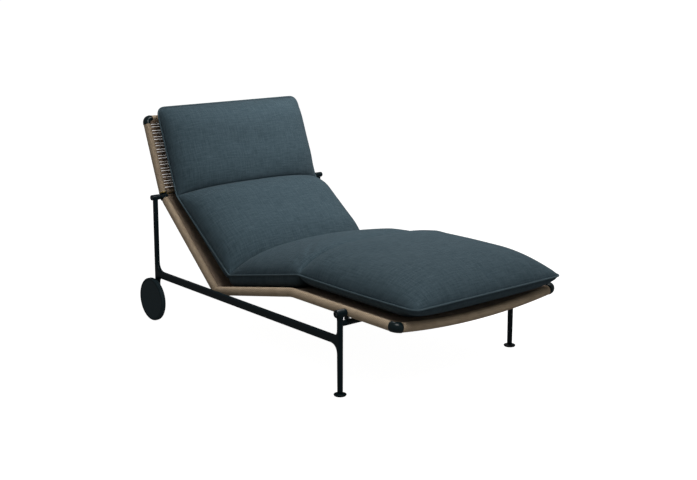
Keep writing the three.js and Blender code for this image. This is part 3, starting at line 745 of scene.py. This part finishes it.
for word, side in SIDES:
    x = side * TUBE_X
    side_rope(f"head_rope_{word}", f"head_wrap_{word}", x, HEAD_LINE)
    side_rope(
        f"back_rope_{word}", f"back_wrap_{word}", x, BACK_LINE,
        mitres=(HIP_MITRE, None), round_ends=(False, True),
    )
    side_rope(f"seat_rope_{word}", f"seat_wrap_{word}", x, SEAT_LINE, mitres=(None, HIP_MITRE))

TOP_RAIL_ENDS = CROWN - upper(HEAD_WAY) * RAIL_DROP
FRONT_RAIL_ENDS = TOE - upper(LEG_WAY) * RAIL_DROP
for name, centre, way, bow, half_length, bow_half, half in (
    ("top", TOP_RAIL_ENDS, HEAD_WAY, RAIL_BOW, RAIL_HALF, RAIL_HALF, WRAP),
    ("front", FRONT_RAIL_ENDS, LEG_WAY, RAIL_BOW, RAIL_HALF, RAIL_HALF, WRAP),
    ("lower", AXLE + HEAD_WAY * LOWER_RAIL_UP, HEAD_WAY, BOW, LOWER_WRAP_HALF, LOWER_RAIL_HALF, LOWER_WRAP),
):
    line, across, normal = bowed(centre, way, bow, half_length, bow_half)
    rope_wrap(f"{name}_rail_rope", f"{name}_rail_wrap", line, across, normal, half)

# A gold lip closes the head section over the axle: across the tubes' ends and under the rail. Its gold is a
# painted highlight, for the light caught along the lower edges of the wraps there.
TUBE_LIP_UP, RAIL_LIP_UP = 13.9, 9.4
TUBE_LIP = (13.2, 16.2)
LOWER_BAR = (4.6, 4.6)
LIP_THICK, LIP_HEIGHT, LIP_EDGE = 1.3, 6.0, 0.3  # the first two are halves
for word, side in SIDES:
    lip_ends = [AXLE + HEAD_WAY * (TUBE_LIP_UP - LIP_THICK), AXLE + HEAD_WAY * (TUBE_LIP_UP + LIP_THICK)]
    lip_path = np.array([at(side * TUBE_X, p) for p in lip_ends])
    lip_normal = np.tile(at(0, upper(HEAD_WAY)), (2, 1))
    lip_across = np.tile(X_AXIS, (2, 1))
    lip = sweep(f"tube_lip_{word}", lip_path, lip_across, lip_normal, TUBE_LIP, LIP_GOLD_PAINTED_HIGHLIGHT, ends=LIP_EDGE)
    stands_for(lip, f"head_hinge_{word}", slot="bronze")
line, across, normal = bowed(AXLE + HEAD_WAY * RAIL_LIP_UP, HEAD_WAY, BOW, LOWER_WRAP_HALF, LOWER_RAIL_HALF)
lip = sweep("rail_lip", line, across, normal, (LIP_THICK, LIP_HEIGHT), LIP_GOLD_PAINTED_HIGHLIGHT, ends=LIP_EDGE)
stands_for(lip, "lower_rail", slot="bronze")
lower_centre = AXLE + HEAD_WAY * LOWER_RAIL_UP
core_line, across, normal = bowed(lower_centre, HEAD_WAY, BOW, LOWER_RAIL_HALF, LOWER_RAIL_HALF)
core = sweep("lower_bar", core_line, across, normal, LOWER_BAR, ALUMINIUM, ends=0.5)
stands_for(core, "lower_rail", slot="tube_aluminium")

# ---- Corner caps --------------------


def corner_cap(name, node, side, corner, way, rail_corner):
    x = side * TUBE_X
    arm = at(x, corner - way * (CAP_LEG - FIT))
    corner3 = at(x, corner)
    rail_end = at(side * (TUBE_X - CAP_LEG + FIT), rail_corner)
    into, out = unit(corner3 - arm), unit(rail_end - corner3)
    start, end = corner3 - into * CAP_RADIUS, corner3 + out * CAP_RADIUS
    path = np.vstack([arm, bend(start, corner3, end, 14), rail_end])
    normal = np.tile(at(0, upper(way)), (len(path), 1))
    across = unit_rows(np.cross(tangents(path), normal))
    # The caps' lighter coat is a painted highlight.
    obj = sweep(name, path, across, normal, CAP, CAP_COAT_PAINTED_LIGHTER, sides=40, ends=2.2)
    return stands_for(obj, node, slot="powder_coat")


for word, side in SIDES:
    corner_cap(f"crown_corner_{word}", f"crown_cap_{word}", side, CROWN, HEAD_WAY, TOP_RAIL_ENDS)
    corner_cap(f"toe_corner_{word}", f"toe_cap_{word}", side, TOE, -LEG_WAY, FRONT_RAIL_ENDS)

# ---- Rope sling --------------------

STRAND = 2.4  # radius
STRAND_PITCH = 4.75
SLING_REACH = 348.5
SLING_UP = 5  # strand centres above the contour, beside the tubes
STRAND_GROUPS = (2, 3)
AXLE_LIFT, AXLE_LIFT_REACH = 5, 16  # the back sling rises over the axle
DENSE = 1.12  # how much wider the strands of the seat and the back are pressed
HIP_REACH = 220  # how far from the hip the strands start to lean towards it
HIP_LEAN = math.tan(math.acos(float(SEAT_WAY @ BACK_WAY)) / 2)  # of the slings' ends, to meet
PINCH_START, PINCH_END = 322, 341  # where the slits close up towards the tube
NOTCH, NOTCH_REACH = 4, 20  # the top strands of the head sling stop short of the corner caps


def strand_places(length, slit):
    """(place along the sling, offset from its group's middle) of each strand."""
    places, s, turn = [], STRAND, 0
    while s + STRAND <= length:
        fits = int((length - STRAND - s) / STRAND_PITCH) + 1
        count = min(STRAND_GROUPS[turn % len(STRAND_GROUPS)], fits)
        middle = s + (count - 1) * STRAND_PITCH / 2
        places += [(middle, (k - (count - 1) / 2) * STRAND_PITCH) for k in range(count)]
        s += count * STRAND_PITCH + slit
        turn += 1
    last = sum(places[-1])
    stretch = (length - 2 * STRAND) / (last - STRAND)  # so that the last strand reaches the end
    return [(STRAND + (middle - STRAND) * stretch, offset * stretch) for middle, offset in places]


def rope_sling(name, node, line, look, seed, slit, stations, notched=False, hip=None):
    """Strands strung from side to side, in groups with a slit between them.

    hip is 0 for the sling that starts at the hip and 1 for the one that ends there.
    """
    line = resampled(line, 3)
    run = run_of(line)
    way = tangents(line)
    rng = np.random.default_rng(seed)
    x = np.linspace(-SLING_REACH, SLING_REACH, stations)
    sag = SLING_UP - BOW * (1 - (x / SLING_REACH) ** 2)
    pinch = np.clip((np.abs(x) - PINCH_START) / (PINCH_END - PINCH_START), 0, 1) ** 2
    phi = np.linspace(0, 2 * math.pi, 8, endpoint=False)
    paths, rings = [], []
    for middle, offset in strand_places(run[-1], slit):
        wander = 0.06 * np.sin(x / rng.uniform(60, 120) + rng.uniform(0, 6))
        wander = wander + slit * rng.uniform(-0.2, 0.2, stations)
        rise = rng.uniform(-0.25, 0.25)
        s = middle + offset * (1 - 0.9 * slit / STRAND_PITCH * pinch) + wander
        s = np.clip(s, 0, run[-1])
        yz = read_at(s, run, line)
        w = unit_rows(read_at(s, run, way))
        up = upper(w)
        yz = yz + up * (sag + rise)[:, None]
        if hip == 0:
            yz = yz + up * (AXLE_LIFT * max(0, 1 - (run[-1] - middle) / AXLE_LIFT_REACH))
        if hip is not None:
            place = middle + offset
            near = max(0, 1 - (place if hip == 0 else run[-1] - place) / HIP_REACH) ** 2
            lean = HIP_LEAN if hip == 0 else -HIP_LEAN
            yz = yz + w * (lean * near * sag)[:, None]
        short = NOTCH * max(0, 1 - (run[-1] - middle - offset) / NOTCH_REACH) if notched else 0
        path = in_space(x * (1 - short / SLING_REACH), yz)
        w3, up3 = in_space(0, w), in_space(0, up)
        wide = STRAND * (1.0 if hip is None else DENSE)
        ring = path[:, None] + (
            wide * w3[:, None] * np.cos(phi)[None, :, None]
            + STRAND * up3[:, None] * np.sin(phi)[None, :, None]
        )
        paths.append(path)
        rings.append(ring)
    obj = tubes(name, paths, rings, look)
    outward(obj.data)
    return stands_for(obj, node, slot="rope_sling")


HEAD_SLING = [AXLE + HEAD_WAY * 23, CROWN - HEAD_WAY * 9.5]
BACK_SLING = [HIP - BACK_WAY * 0.5, AXLE]
SEAT_SLING = rounded_line([TOE + LEG_WAY * 11, KNEE, HIP + SEAT_WAY * 0.5], KNEE_RADIUS)
rope_sling("head_strands", "head_sling", HEAD_SLING, HEAD_SLING_ROPE, 1, 0.55, 120, notched=True)
rope_sling("back_strands", "back_sling", BACK_SLING, SLING_ROPE, 2, 0.1, 60, hip=0)
rope_sling("seat_strands", "seat_sling", SEAT_SLING, SLING_ROPE, 3, 0.1, 45, hip=1)

# ---- Wheels --------------------

WHEEL_RADIUS, WHEEL_IN, WHEEL_OUT, TYRE = 83, 408.6, 427, 9

for word, side in SIDES:
    rim = WHEEL_RADIUS - TYRE - FIT
    disc = [
        (WHEEL_OUT - 4, 0), (WHEEL_OUT - 4, 9.3), (WHEEL_IN, 9.3), (WHEEL_IN, 18), (WHEEL_IN + 1.6, 22),
        (WHEEL_IN + 2, rim - 4), (WHEEL_IN + 2, rim), (WHEEL_OUT - 0.4, rim), (WHEEL_OUT, rim - 0.4),
        (WHEEL_OUT, rim - 3), (WHEEL_OUT, 30), (WHEEL_OUT, 8), (WHEEL_OUT, 0),
    ]
    obj = lathe(f"wheel_plate_{word}", disc, side, HUB, PLASTIC, 96)
    stands_for(obj, f"wheel_disc_{word}", slot="wheel_plastic")
    inner = WHEEL_RADIUS - TYRE
    x0, x1, soft = WHEEL_IN + 1, WHEEL_OUT, 4.5
    turn = np.linspace(0, math.pi / 2, 7)
    rise = [(soft * (1 - math.cos(a)), WHEEL_RADIUS - soft + soft * math.sin(a)) for a in turn]
    tyre = [(x0, inner), *[(x0 + dx, r) for dx, r in rise]]
    tyre += [(x1 - dx, r) for dx, r in reversed(rise)]
    tyre += [(x1, inner), (x0, inner)]
    obj = lathe(f"tyre_{word}", tyre, side, HUB, RUBBER, 120)
    stands_for(obj, f"wheel_tyre_{word}", slot="tyre_rubber")

# ---- Mattress --------------------

HALF_WIDTH = 335
SEAM = {  # the piping's corners in the side view
    "crown": np.array([1177.0, 810.0]),
    "fold": np.array([1047.0, 486.0]),
    "hip": np.array([706.0, 242.5]),
    "knee": np.array([295.0, 327.5]),
    "toe": np.array([-280.0, 328.5]),
}
SEAM_ORDER = ["crown", "fold", "hip", "knee", "toe"]
BASE = {"crown": CROWN + HEAD_WAY * 29, "fold": AXLE, "hip": HIP, "knee": KNEE, "toe": TOE - LEG_WAY * 58}


def seam_up(name):
    """The direction away from the frame in which the pads meet at a corner."""
    i = SEAM_ORDER.index(name)
    ways = []
    if i > 0:
        ways.append(along(SEAM[name], SEAM[SEAM_ORDER[i - 1]]))
    if i < len(SEAM_ORDER) - 1:
        ways.append(along(SEAM[SEAM_ORDER[i + 1]], SEAM[name]))
    return unit(sum(upper(w) for w in ways))


# Height of the crown above the piping at each corner where two pads meet, and how deep its fold is.
FOLD_CROWN = {"fold": 66, "hip": 86, "knee": 84}
FOLD_GROOVE = {"fold": 10, "hip": 16, "knee": 16}
FOLD_EASE, GROOVE_FADE = 110.0, 8.0  # how far from a fold the crown is reached, and its groove ends


class Pad:
    """What one pad of the mattress measures, in millimetres."""

    def __init__(self, start, end, crown, profile, radius, side_belly, end_rise=150, droop=0):
        self.start, self.end = start, end
        self.crown = crown  # height of its middle above the piping
        self.profile = profile  # exponents of its cross section; larger and smaller make it fuller
        self.radius = radius  # of its corners at the free end
        self.side_belly = side_belly  # how square the underside's edge is
        self.end_rise = end_rise  # how far from a free end the crown is reached
        self.droop = droop  # how far the piping hangs between its corners
        self.free = {corner: corner in ("toe", "crown") for corner in (start, end)}


PADS = {
    "leg": Pad("toe", "knee", 110, (3.3, 0.53), 26, 8, end_rise=205, droop=3),
    "seat": Pad("knee", "hip", 105, (3.2, 0.54), 0, 24),
    "back": Pad("hip", "fold", 115, (4.1, 0.48), 0, 8),
    "head": Pad("fold", "crown", 86, (4.0, 0.50), 30, 7, end_rise=110),
}
PAD_GRAIN = 8.0  # grid size
SLING_TOP = 9.5  # lowest point of a pad beside the tubes, above the contour
RAIL_TOP = 22.0  # the same above the end rails
RAIL_SPREAD = 26.0  # how far from an end rail its lift fades out
SLING_HALF = 345.0
# How a pad's underside comes up to its ends: over what reach, with which exponents, down to what share.
BELLY_ENDS = {"toe": (50.0, 2.2, 0.6, 0.0), "crown": (60.0, 2.5, 0.5, 0.0)}
BELLY_FOLD = (48.0, 2.5, 0.5, 0.25)
SWELL = 10.0  # how much lower the crown is drawn, for the inflation to raise


def edge_inset(x, radius):
    """How far a free end falls back where its corners are rounded."""
    if radius == 0:
        return np.zeros_like(x)
    past = np.clip((np.abs(x) - (HALF_WIDTH - radius)) / radius, 0, 1)
    return radius * (1 - np.sqrt(1 - past ** 2))


def gathers(pad, x, gaps, height):
    """Small folds that run in from the piping of the toe end, where its cloth is gathered."""
    if pad.start != "toe":
        return 0
    rng = np.random.default_rng(11)
    wave = sum(
        np.sin(x / wavelength * 2 * math.pi + rng.uniform(0, 2 * math.pi)) * strength
        for wavelength, strength in ((21, 0.7), (29, 0.8), (43, 0.7), (67, 0.6))
    )
    near = np.exp(-gaps[0] / 26.0) * np.clip(gaps[0] / 9.0, 0, 1)
    return 1.5 * wave * near * np.clip((HALF_WIDTH - np.abs(x)) / 30, 0, 1)


def pad_grid(pad):
    """Top and bottom surfaces of a pad as (rows, columns, 3) arrays in local mm."""
    corners = (pad.start, pad.end)
    length = np.linalg.norm(SEAM[pad.end] - SEAM[pad.start])
    rows = int(round(length / PAD_GRAIN)) + 1
    cols = 2 * int(round(HALF_WIDTH / PAD_GRAIN)) + 1
    q = np.linspace(-1, 1, cols)
    x = HALF_WIDTH * (0.7 * q + 0.3 * q * (1.5 - 0.5 * q ** 2))
    f = np.linspace(0, 1, rows)[:, None]
    f = 0.7 * f + 0.3 * f ** 2 * (3 - 2 * f)
    inset = [edge_inset(x, pad.radius if pad.free[corner] else 0) for corner in corners]
    share = (inset[0] + f * (length - inset[0] - inset[1])) / length
    gaps = [f * length + 0 * x, (1 - f) * length + 0 * x]
    t = np.abs(x)[None] / HALF_WIDTH

    crown = pad.crown - SWELL
    height = crown * (1 - t ** pad.profile[0]) ** pad.profile[1] + 0 * share
    for corner, gap in zip(corners, gaps):
        if pad.free[corner]:
            height = height * (1 - np.clip(1 - gap / pad.end_rise, 0, 1) ** 2) ** 0.6
        else:
            low = (FOLD_CROWN[corner] - ((0.5 * SWELL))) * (1 - t ** 3.2) ** 0.8
            ease = np.sin(np.clip(gap / FOLD_EASE, 0, 1) * math.pi / 2)
            height = low + (height - low) * ease
            height = height - FOLD_GROOVE[corner] * np.exp(-gap / GROOVE_FADE) * (1 - t ** 9)
    height = np.maximum(height + gathers(pad, x, gaps, height), 0)

    place = share[..., None]
    seam = SEAM[pad.start] + place * (SEAM[pad.end] - SEAM[pad.start])
    base = BASE[pad.start] + place * (BASE[pad.end] - BASE[pad.start])
    lean = seam_up(pad.start) * (1 - place) + seam_up(pad.end) * place
    way = along(BASE[pad.start], BASE[pad.end])
    up = upper(way)
    seam = seam - up * (pad.droop * np.sin(math.pi * share) * t ** 4)[..., None]
    top_yz = seam + lean * height[..., None]

    above = (seam - base) @ up  # the piping's height above the contour
    bow = BOW * (1 - (x / SLING_HALF) ** 2)
    rest = SLING_TOP - bow[None] + 0 * share
    for corner, rail, follow in (("toe", TOE, 0.2), ("crown", CROWN, 1.0)):
        if corner in corners:
            inward = (seam - rail) @ way * (1 if corner == "toe" else -1)
            over = np.exp(-((np.maximum(inward, 0) / RAIL_SPREAD) ** 4))
            rail_bow = follow * RAIL_BOW * (1 - (x / RAIL_HALF) ** 2)
            rest = np.maximum(rest, (RAIL_TOP - rail_bow[None]) * over + rest * (1 - over))
    belly = (1 - t ** pad.side_belly) ** 0.5 + 0 * share
    for corner, gap in zip(corners, gaps):
        reach, square, root, least = BELLY_ENDS.get(corner, BELLY_FOLD)
        belly = belly * (least + (1 - least) * (1 - np.clip(1 - gap / reach, 0, 1) ** square) ** root)
    down = base - seam
    down = down / np.maximum(np.linalg.norm(down, axis=-1, keepdims=True), 1e-6)
    stretch = 1 / np.maximum(-(down @ up), 0.5)
    bottom_yz = seam + down * ((above - rest) * belly * stretch)[..., None]
    xs = np.broadcast_to(x, share.shape)
    top = np.concatenate([xs[..., None], top_yz], axis=-1)
    bottom = np.concatenate([xs[..., None], bottom_yz], axis=-1)
    return top, bottom


def pad_mesh(name, pad, top, bottom):
    """A mesh of the two surfaces, walled where the pad meets its neighbour."""
    rows, cols = top.shape[:2]
    points = [top.reshape(-1, 3), bottom.reshape(-1, 3)]
    faces = [grid_faces(rows, cols), grid_faces(rows, cols, first=rows * cols)[:, ::-1]]
    u = np.linalg.norm(top[1:, cols // 2] - top[:-1, cols // 2], axis=-1)
    u = np.concatenate([[0], np.cumsum(u)]) * MM
    v = top[rows // 2, :, 0] * MM
    sheet_uv = grid_uv(u, v, False)
    uvs = [sheet_uv, sheet_uv.reshape(-1, 4, 2)[:, ::-1].reshape(-1, 2)]
    first = 2 * rows * cols
    levels = 8
    for row, corner in ((0, pad.start), (rows - 1, pad.end)):
        if pad.free[corner]:
            continue
        k = np.linspace(0, 1, levels)[:, None, None]
        wall = top[row][None] * (1 - k) + bottom[row][None] * k
        points.append(wall.reshape(-1, 3))
        quads = grid_faces(levels, cols, first=first)
        uv = grid_uv(np.linspace(0, 0.1, levels), v, False)
        if row == 0:
            quads, uv = quads[:, ::-1], uv.reshape(-1, 4, 2)[:, ::-1].reshape(-1, 2)
        faces.append(quads)
        uvs.append(uv)
        first += levels * cols
    mesh = mesh_from(f"{name}_pad", metres(np.vstack(points)), np.vstack(faces), np.vstack(uvs))
    outward(mesh, merge=0.02 * MM, collapse=True)
    mesh.shade_smooth()
    return mesh


def coordinates_of(mesh):
    co = np.empty(len(mesh.vertices) * 3, np.float32)
    mesh.vertices.foreach_get("co", co)
    return co.reshape(-1, 3).astype(float)


CLOTH = {
    "quality": 5, "mass": 0.35, "tension_stiffness": 20, "compression_stiffness": 20,
    "shear_stiffness": 8, "bending_stiffness": 6, "use_pressure": True, "shrink_min": -0.0015,
    "vertex_group_mass": "held",
}


def inflate(obj, held, pressure, most, frames=20):
    """Swells a pad as cloth under pressure, by at most so many mm. held is how fast each point is."""
    group = obj.vertex_groups.new(name="held")
    for weight in np.unique(np.round(held, 1)):
        if weight > 0:
            group.add(np.where(np.round(held, 1) == weight)[0].tolist(), float(weight), "REPLACE")
    cloth = obj.modifiers.new("cloth", "CLOTH")
    for key, value in CLOTH.items():
        setattr(cloth.settings, key, value)
    cloth.settings.uniform_pressure_force = pressure
    cloth.settings.effector_weights.gravity = 0
    cloth.collision_settings.use_collision = False
    cloth.point_cache.frame_end = frames
    before = coordinates_of(obj.data)
    scene = bpy.context.scene
    for step in range(1, frames + 1):
        scene.frame_set(step)
    depsgraph = bpy.context.evaluated_depsgraph_get()
    after = coordinates_of(obj.evaluated_get(depsgraph).data)
    obj.modifiers.clear()
    obj.vertex_groups.clear()
    scene.frame_set(1)
    move = after - before
    size = np.linalg.norm(move, axis=1, keepdims=True)
    move *= np.minimum(1, most * MM / np.maximum(size, 1e-9))
    obj.data.vertices.foreach_set("co", (before + move).astype(np.float32).ravel())
    obj.data.update()
    print(obj.name, "swelled by at most", round(float(size.max() / MM), 1), "mm")


def held_share(mesh, top, bottom):
    """0 for points inside the pad's top; 1 for its rim, its walls and its underside."""
    here = coordinates_of(mesh)
    crown = metres(top[1:-1, 1:-1].reshape(-1, 3))
    free = set(map(tuple, np.round(crown, 5)))
    return np.array([0.0 if tuple(p) in free else 1.0 for p in np.round(here, 5)])


grids = {name: pad_grid(pad) for name, pad in PADS.items()}
for name, pad in PADS.items():
    cushion = new_object(f"{name}_cushion", pad_mesh(name, pad, *grids[name]), FABRIC)
    inflate(cushion, held_share(cushion.data, *grids[name]), 4.0, 26)
    subdivide = cushion.modifiers.new("subdivide", "SUBSURF")
    subdivide.levels = subdivide.render_levels = 1
    baked(cushion)
    stands_for(cushion, f"{name}_pad", slot="mattress_fabric")

# ---- Piping and the fold's link --------------------

PIPING_RADIUS = 3.2
PIPING_OUT = 0.9  # how far its middle stands outside the pads' edge
PIPING_TURNS = (-279, 295, 706, 1047, 1178)  # y at the toe, knee, hip, fold and crown


def seam_loop():
    """The piping's line: up one side, across the head end, down the other and round the toe end."""
    sides = []
    for column in (0, -1):
        runs = [grids[name][0][:, column] for name in ("leg", "seat", "back", "head")]
        sides.append(np.vstack([run if i == 0 else run[1:] for i, run in enumerate(runs)]))
    head_end = grids["head"][0][-1]
    toe_end = grids["leg"][0][0]
    loop = np.vstack([sides[0], head_end[1:-1], sides[1][::-1], toe_end[::-1][1:]])
    return resampled(loop, 5.0)[:-1]


def round_loop(loop, rounds):
    for _ in range(rounds):
        loop = 0.5 * loop + 0.25 * (np.roll(loop, 1, axis=0) + np.roll(loop, -1, axis=0))
    return loop


loop = round_loop(seam_loop(), 3)
way = unit_rows(np.roll(loop, -1, axis=0) - np.roll(loop, 1, axis=0))
run_up = np.interp(loop[:, 1], PIPING_TURNS, range(len(PIPING_TURNS)))
ups = np.array([upper(w) for w in (LEG_WAY, LEG_WAY, SEAT_WAY, BACK_WAY, HEAD_WAY)])
seam_normal = np.zeros_like(loop)
seam_normal[:, 1:] = read_at(run_up, range(len(ups)), ups)
out_way = unit_rows(np.cross(way, seam_normal))
seam_normal = np.cross(out_way, way)
out_way *= np.sign(np.sum(out_way * (loop - loop.mean(axis=0)), axis=1, keepdims=True))
phi = np.linspace(0, 2 * math.pi, 12, endpoint=False)
loop = loop + out_way * PIPING_OUT
ring = loop[:, None] + PIPING_RADIUS * (
    out_way[:, None] * np.cos(phi)[None, :, None] + seam_normal[:, None] * np.sin(phi)[None, :, None]
)
faces = grid_faces(len(loop), len(phi), wrap_rows=True, wrap_cols=True)
piping = new_object("mattress_piping", mesh_from("piping", metres(ring), faces), PIPING)
outward(piping.data)

FOLD_REACH = 34  # how far each side of the fold the link and the piping bend
fold_start = metres(at(0, SEAM["fold"] - BACK_WAY * FOLD_REACH))
fold_end = metres(at(0, SEAM["fold"] + HEAD_WAY * FOLD_REACH))
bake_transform(piping, "base", "head", start=tuple(fold_start), end=tuple(fold_end))


def fold_link():
    """The cloth that joins the head pad to the back pad at the bottom of the fold."""
    x = np.linspace(-(HALF_WIDTH - 14), HALF_WIDTH - 14, 90)
    s = np.linspace(-1, 1, 25)
    line = np.stack([
        SEAM["fold"] + (BACK_WAY if k < 0 else HEAD_WAY) * k * FOLD_REACH + seam_up("fold") * 6 for k in s
    ])
    soften = lambda data: np.convolve(np.pad(data, 2, "edge"), np.ones(5) / 5, "valid")
    line = np.stack([soften(line[:, k]) for k in range(2)], axis=1)
    sheets = []
    for lift in (0.8, -0.8):
        yz = line + seam_up("fold") * lift
        sheets.append(np.stack([
            np.broadcast_to(x, (len(s), len(x))),
            np.broadcast_to(yz[:, :1], (len(s), len(x))),
            np.broadcast_to(yz[:, 1:], (len(s), len(x))),
        ], axis=-1))
    rows, cols = sheets[0].shape[:2]
    rim = np.concatenate([
        np.arange(cols),
        np.arange(1, rows) * cols + cols - 1,
        (rows - 1) * cols + np.arange(cols - 1)[::-1],
        np.arange(1, rows - 1)[::-1] * cols,
    ])
    walls = np.stack([rim, np.roll(rim, -1), np.roll(rim, -1) + rows * cols, rim + rows * cols], axis=1)
    faces = np.vstack([grid_faces(rows, cols), grid_faces(rows, cols, first=rows * cols)[:, ::-1], walls])
    mesh = mesh_from("link", metres(np.stack(sheets)), faces)
    outward(mesh)
    return new_object("mattress_link", mesh, FABRIC)


link = fold_link()
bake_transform(link, "base", "head", start=tuple(fold_start), end=tuple(fold_end))

# ---- Floor and light --------------------

floor_mesh = bpy.data.meshes.new("floor")
FLOOR = 60  # half its side, in metres
floor_corners = [(x * FLOOR, y * FLOOR, 0) for x, y in ((-1, -1), (1, -1), (1, 1), (-1, 1))]
floor_mesh.from_pydata(floor_corners, [], [(0, 1, 2, 3)])
floor_look = Look("floor", 0.9, Specular_IOR_Level=0.0, Emission_Strength=0.97)
floor_look.shader.inputs["Emission Color"].default_value = (1, 1, 1, 1)
floor_look.shader.inputs["Base Color"].default_value = (0.35, 0.35, 0.35, 1)
floor = new_object("floor", floor_mesh, floor_look.material)
floor.visible_diffuse = False
floor.visible_glossy = False

world = bpy.data.worlds.new("studio")
world.use_nodes = True
bpy.context.scene.world = world
WORLD_TOP, WORLD_LOW = 0.21, 0.16
nodes, links = world.node_tree.nodes, world.node_tree.links
background = nodes["Background"]
coordinate = nodes.new("ShaderNodeTexCoord")
split = nodes.new("ShaderNodeSeparateXYZ")
ramp = nodes.new("ShaderNodeMapRange")
for socket, value in (("From Min", -0.35), ("From Max", 0.55), ("To Min", WORLD_LOW), ("To Max", WORLD_TOP)):
    ramp.inputs[socket].default_value = value
links.new(coordinate.outputs["Generated"], split.inputs[0])
links.new(split.outputs[2], ramp.inputs["Value"])
links.new(ramp.outputs[0], background.inputs["Strength"])
background.inputs["Color"].default_value = (1, 1, 1, 1)


def softbox(name, where, aim, size, power):
    light = bpy.data.lights.new(name, "AREA")
    light.shape = "DISK"
    light.size = size
    light.energy = power
    obj = new_object(name, light)
    obj.location = where
    obj.rotation_euler = (Vector(aim) - Vector(where)).to_track_quat("-Z", "Y").to_euler()


softbox("over_head", (0.5, 0.1, 1.6), (0, 0.1, 0.45), 0.8, 13.5)
softbox("front", (-0.6, -2.2, 3.2), (0, 0.1, 0.45), 2.0, 56)

bpy.context.scene.view_settings.view_transform = "Standard"
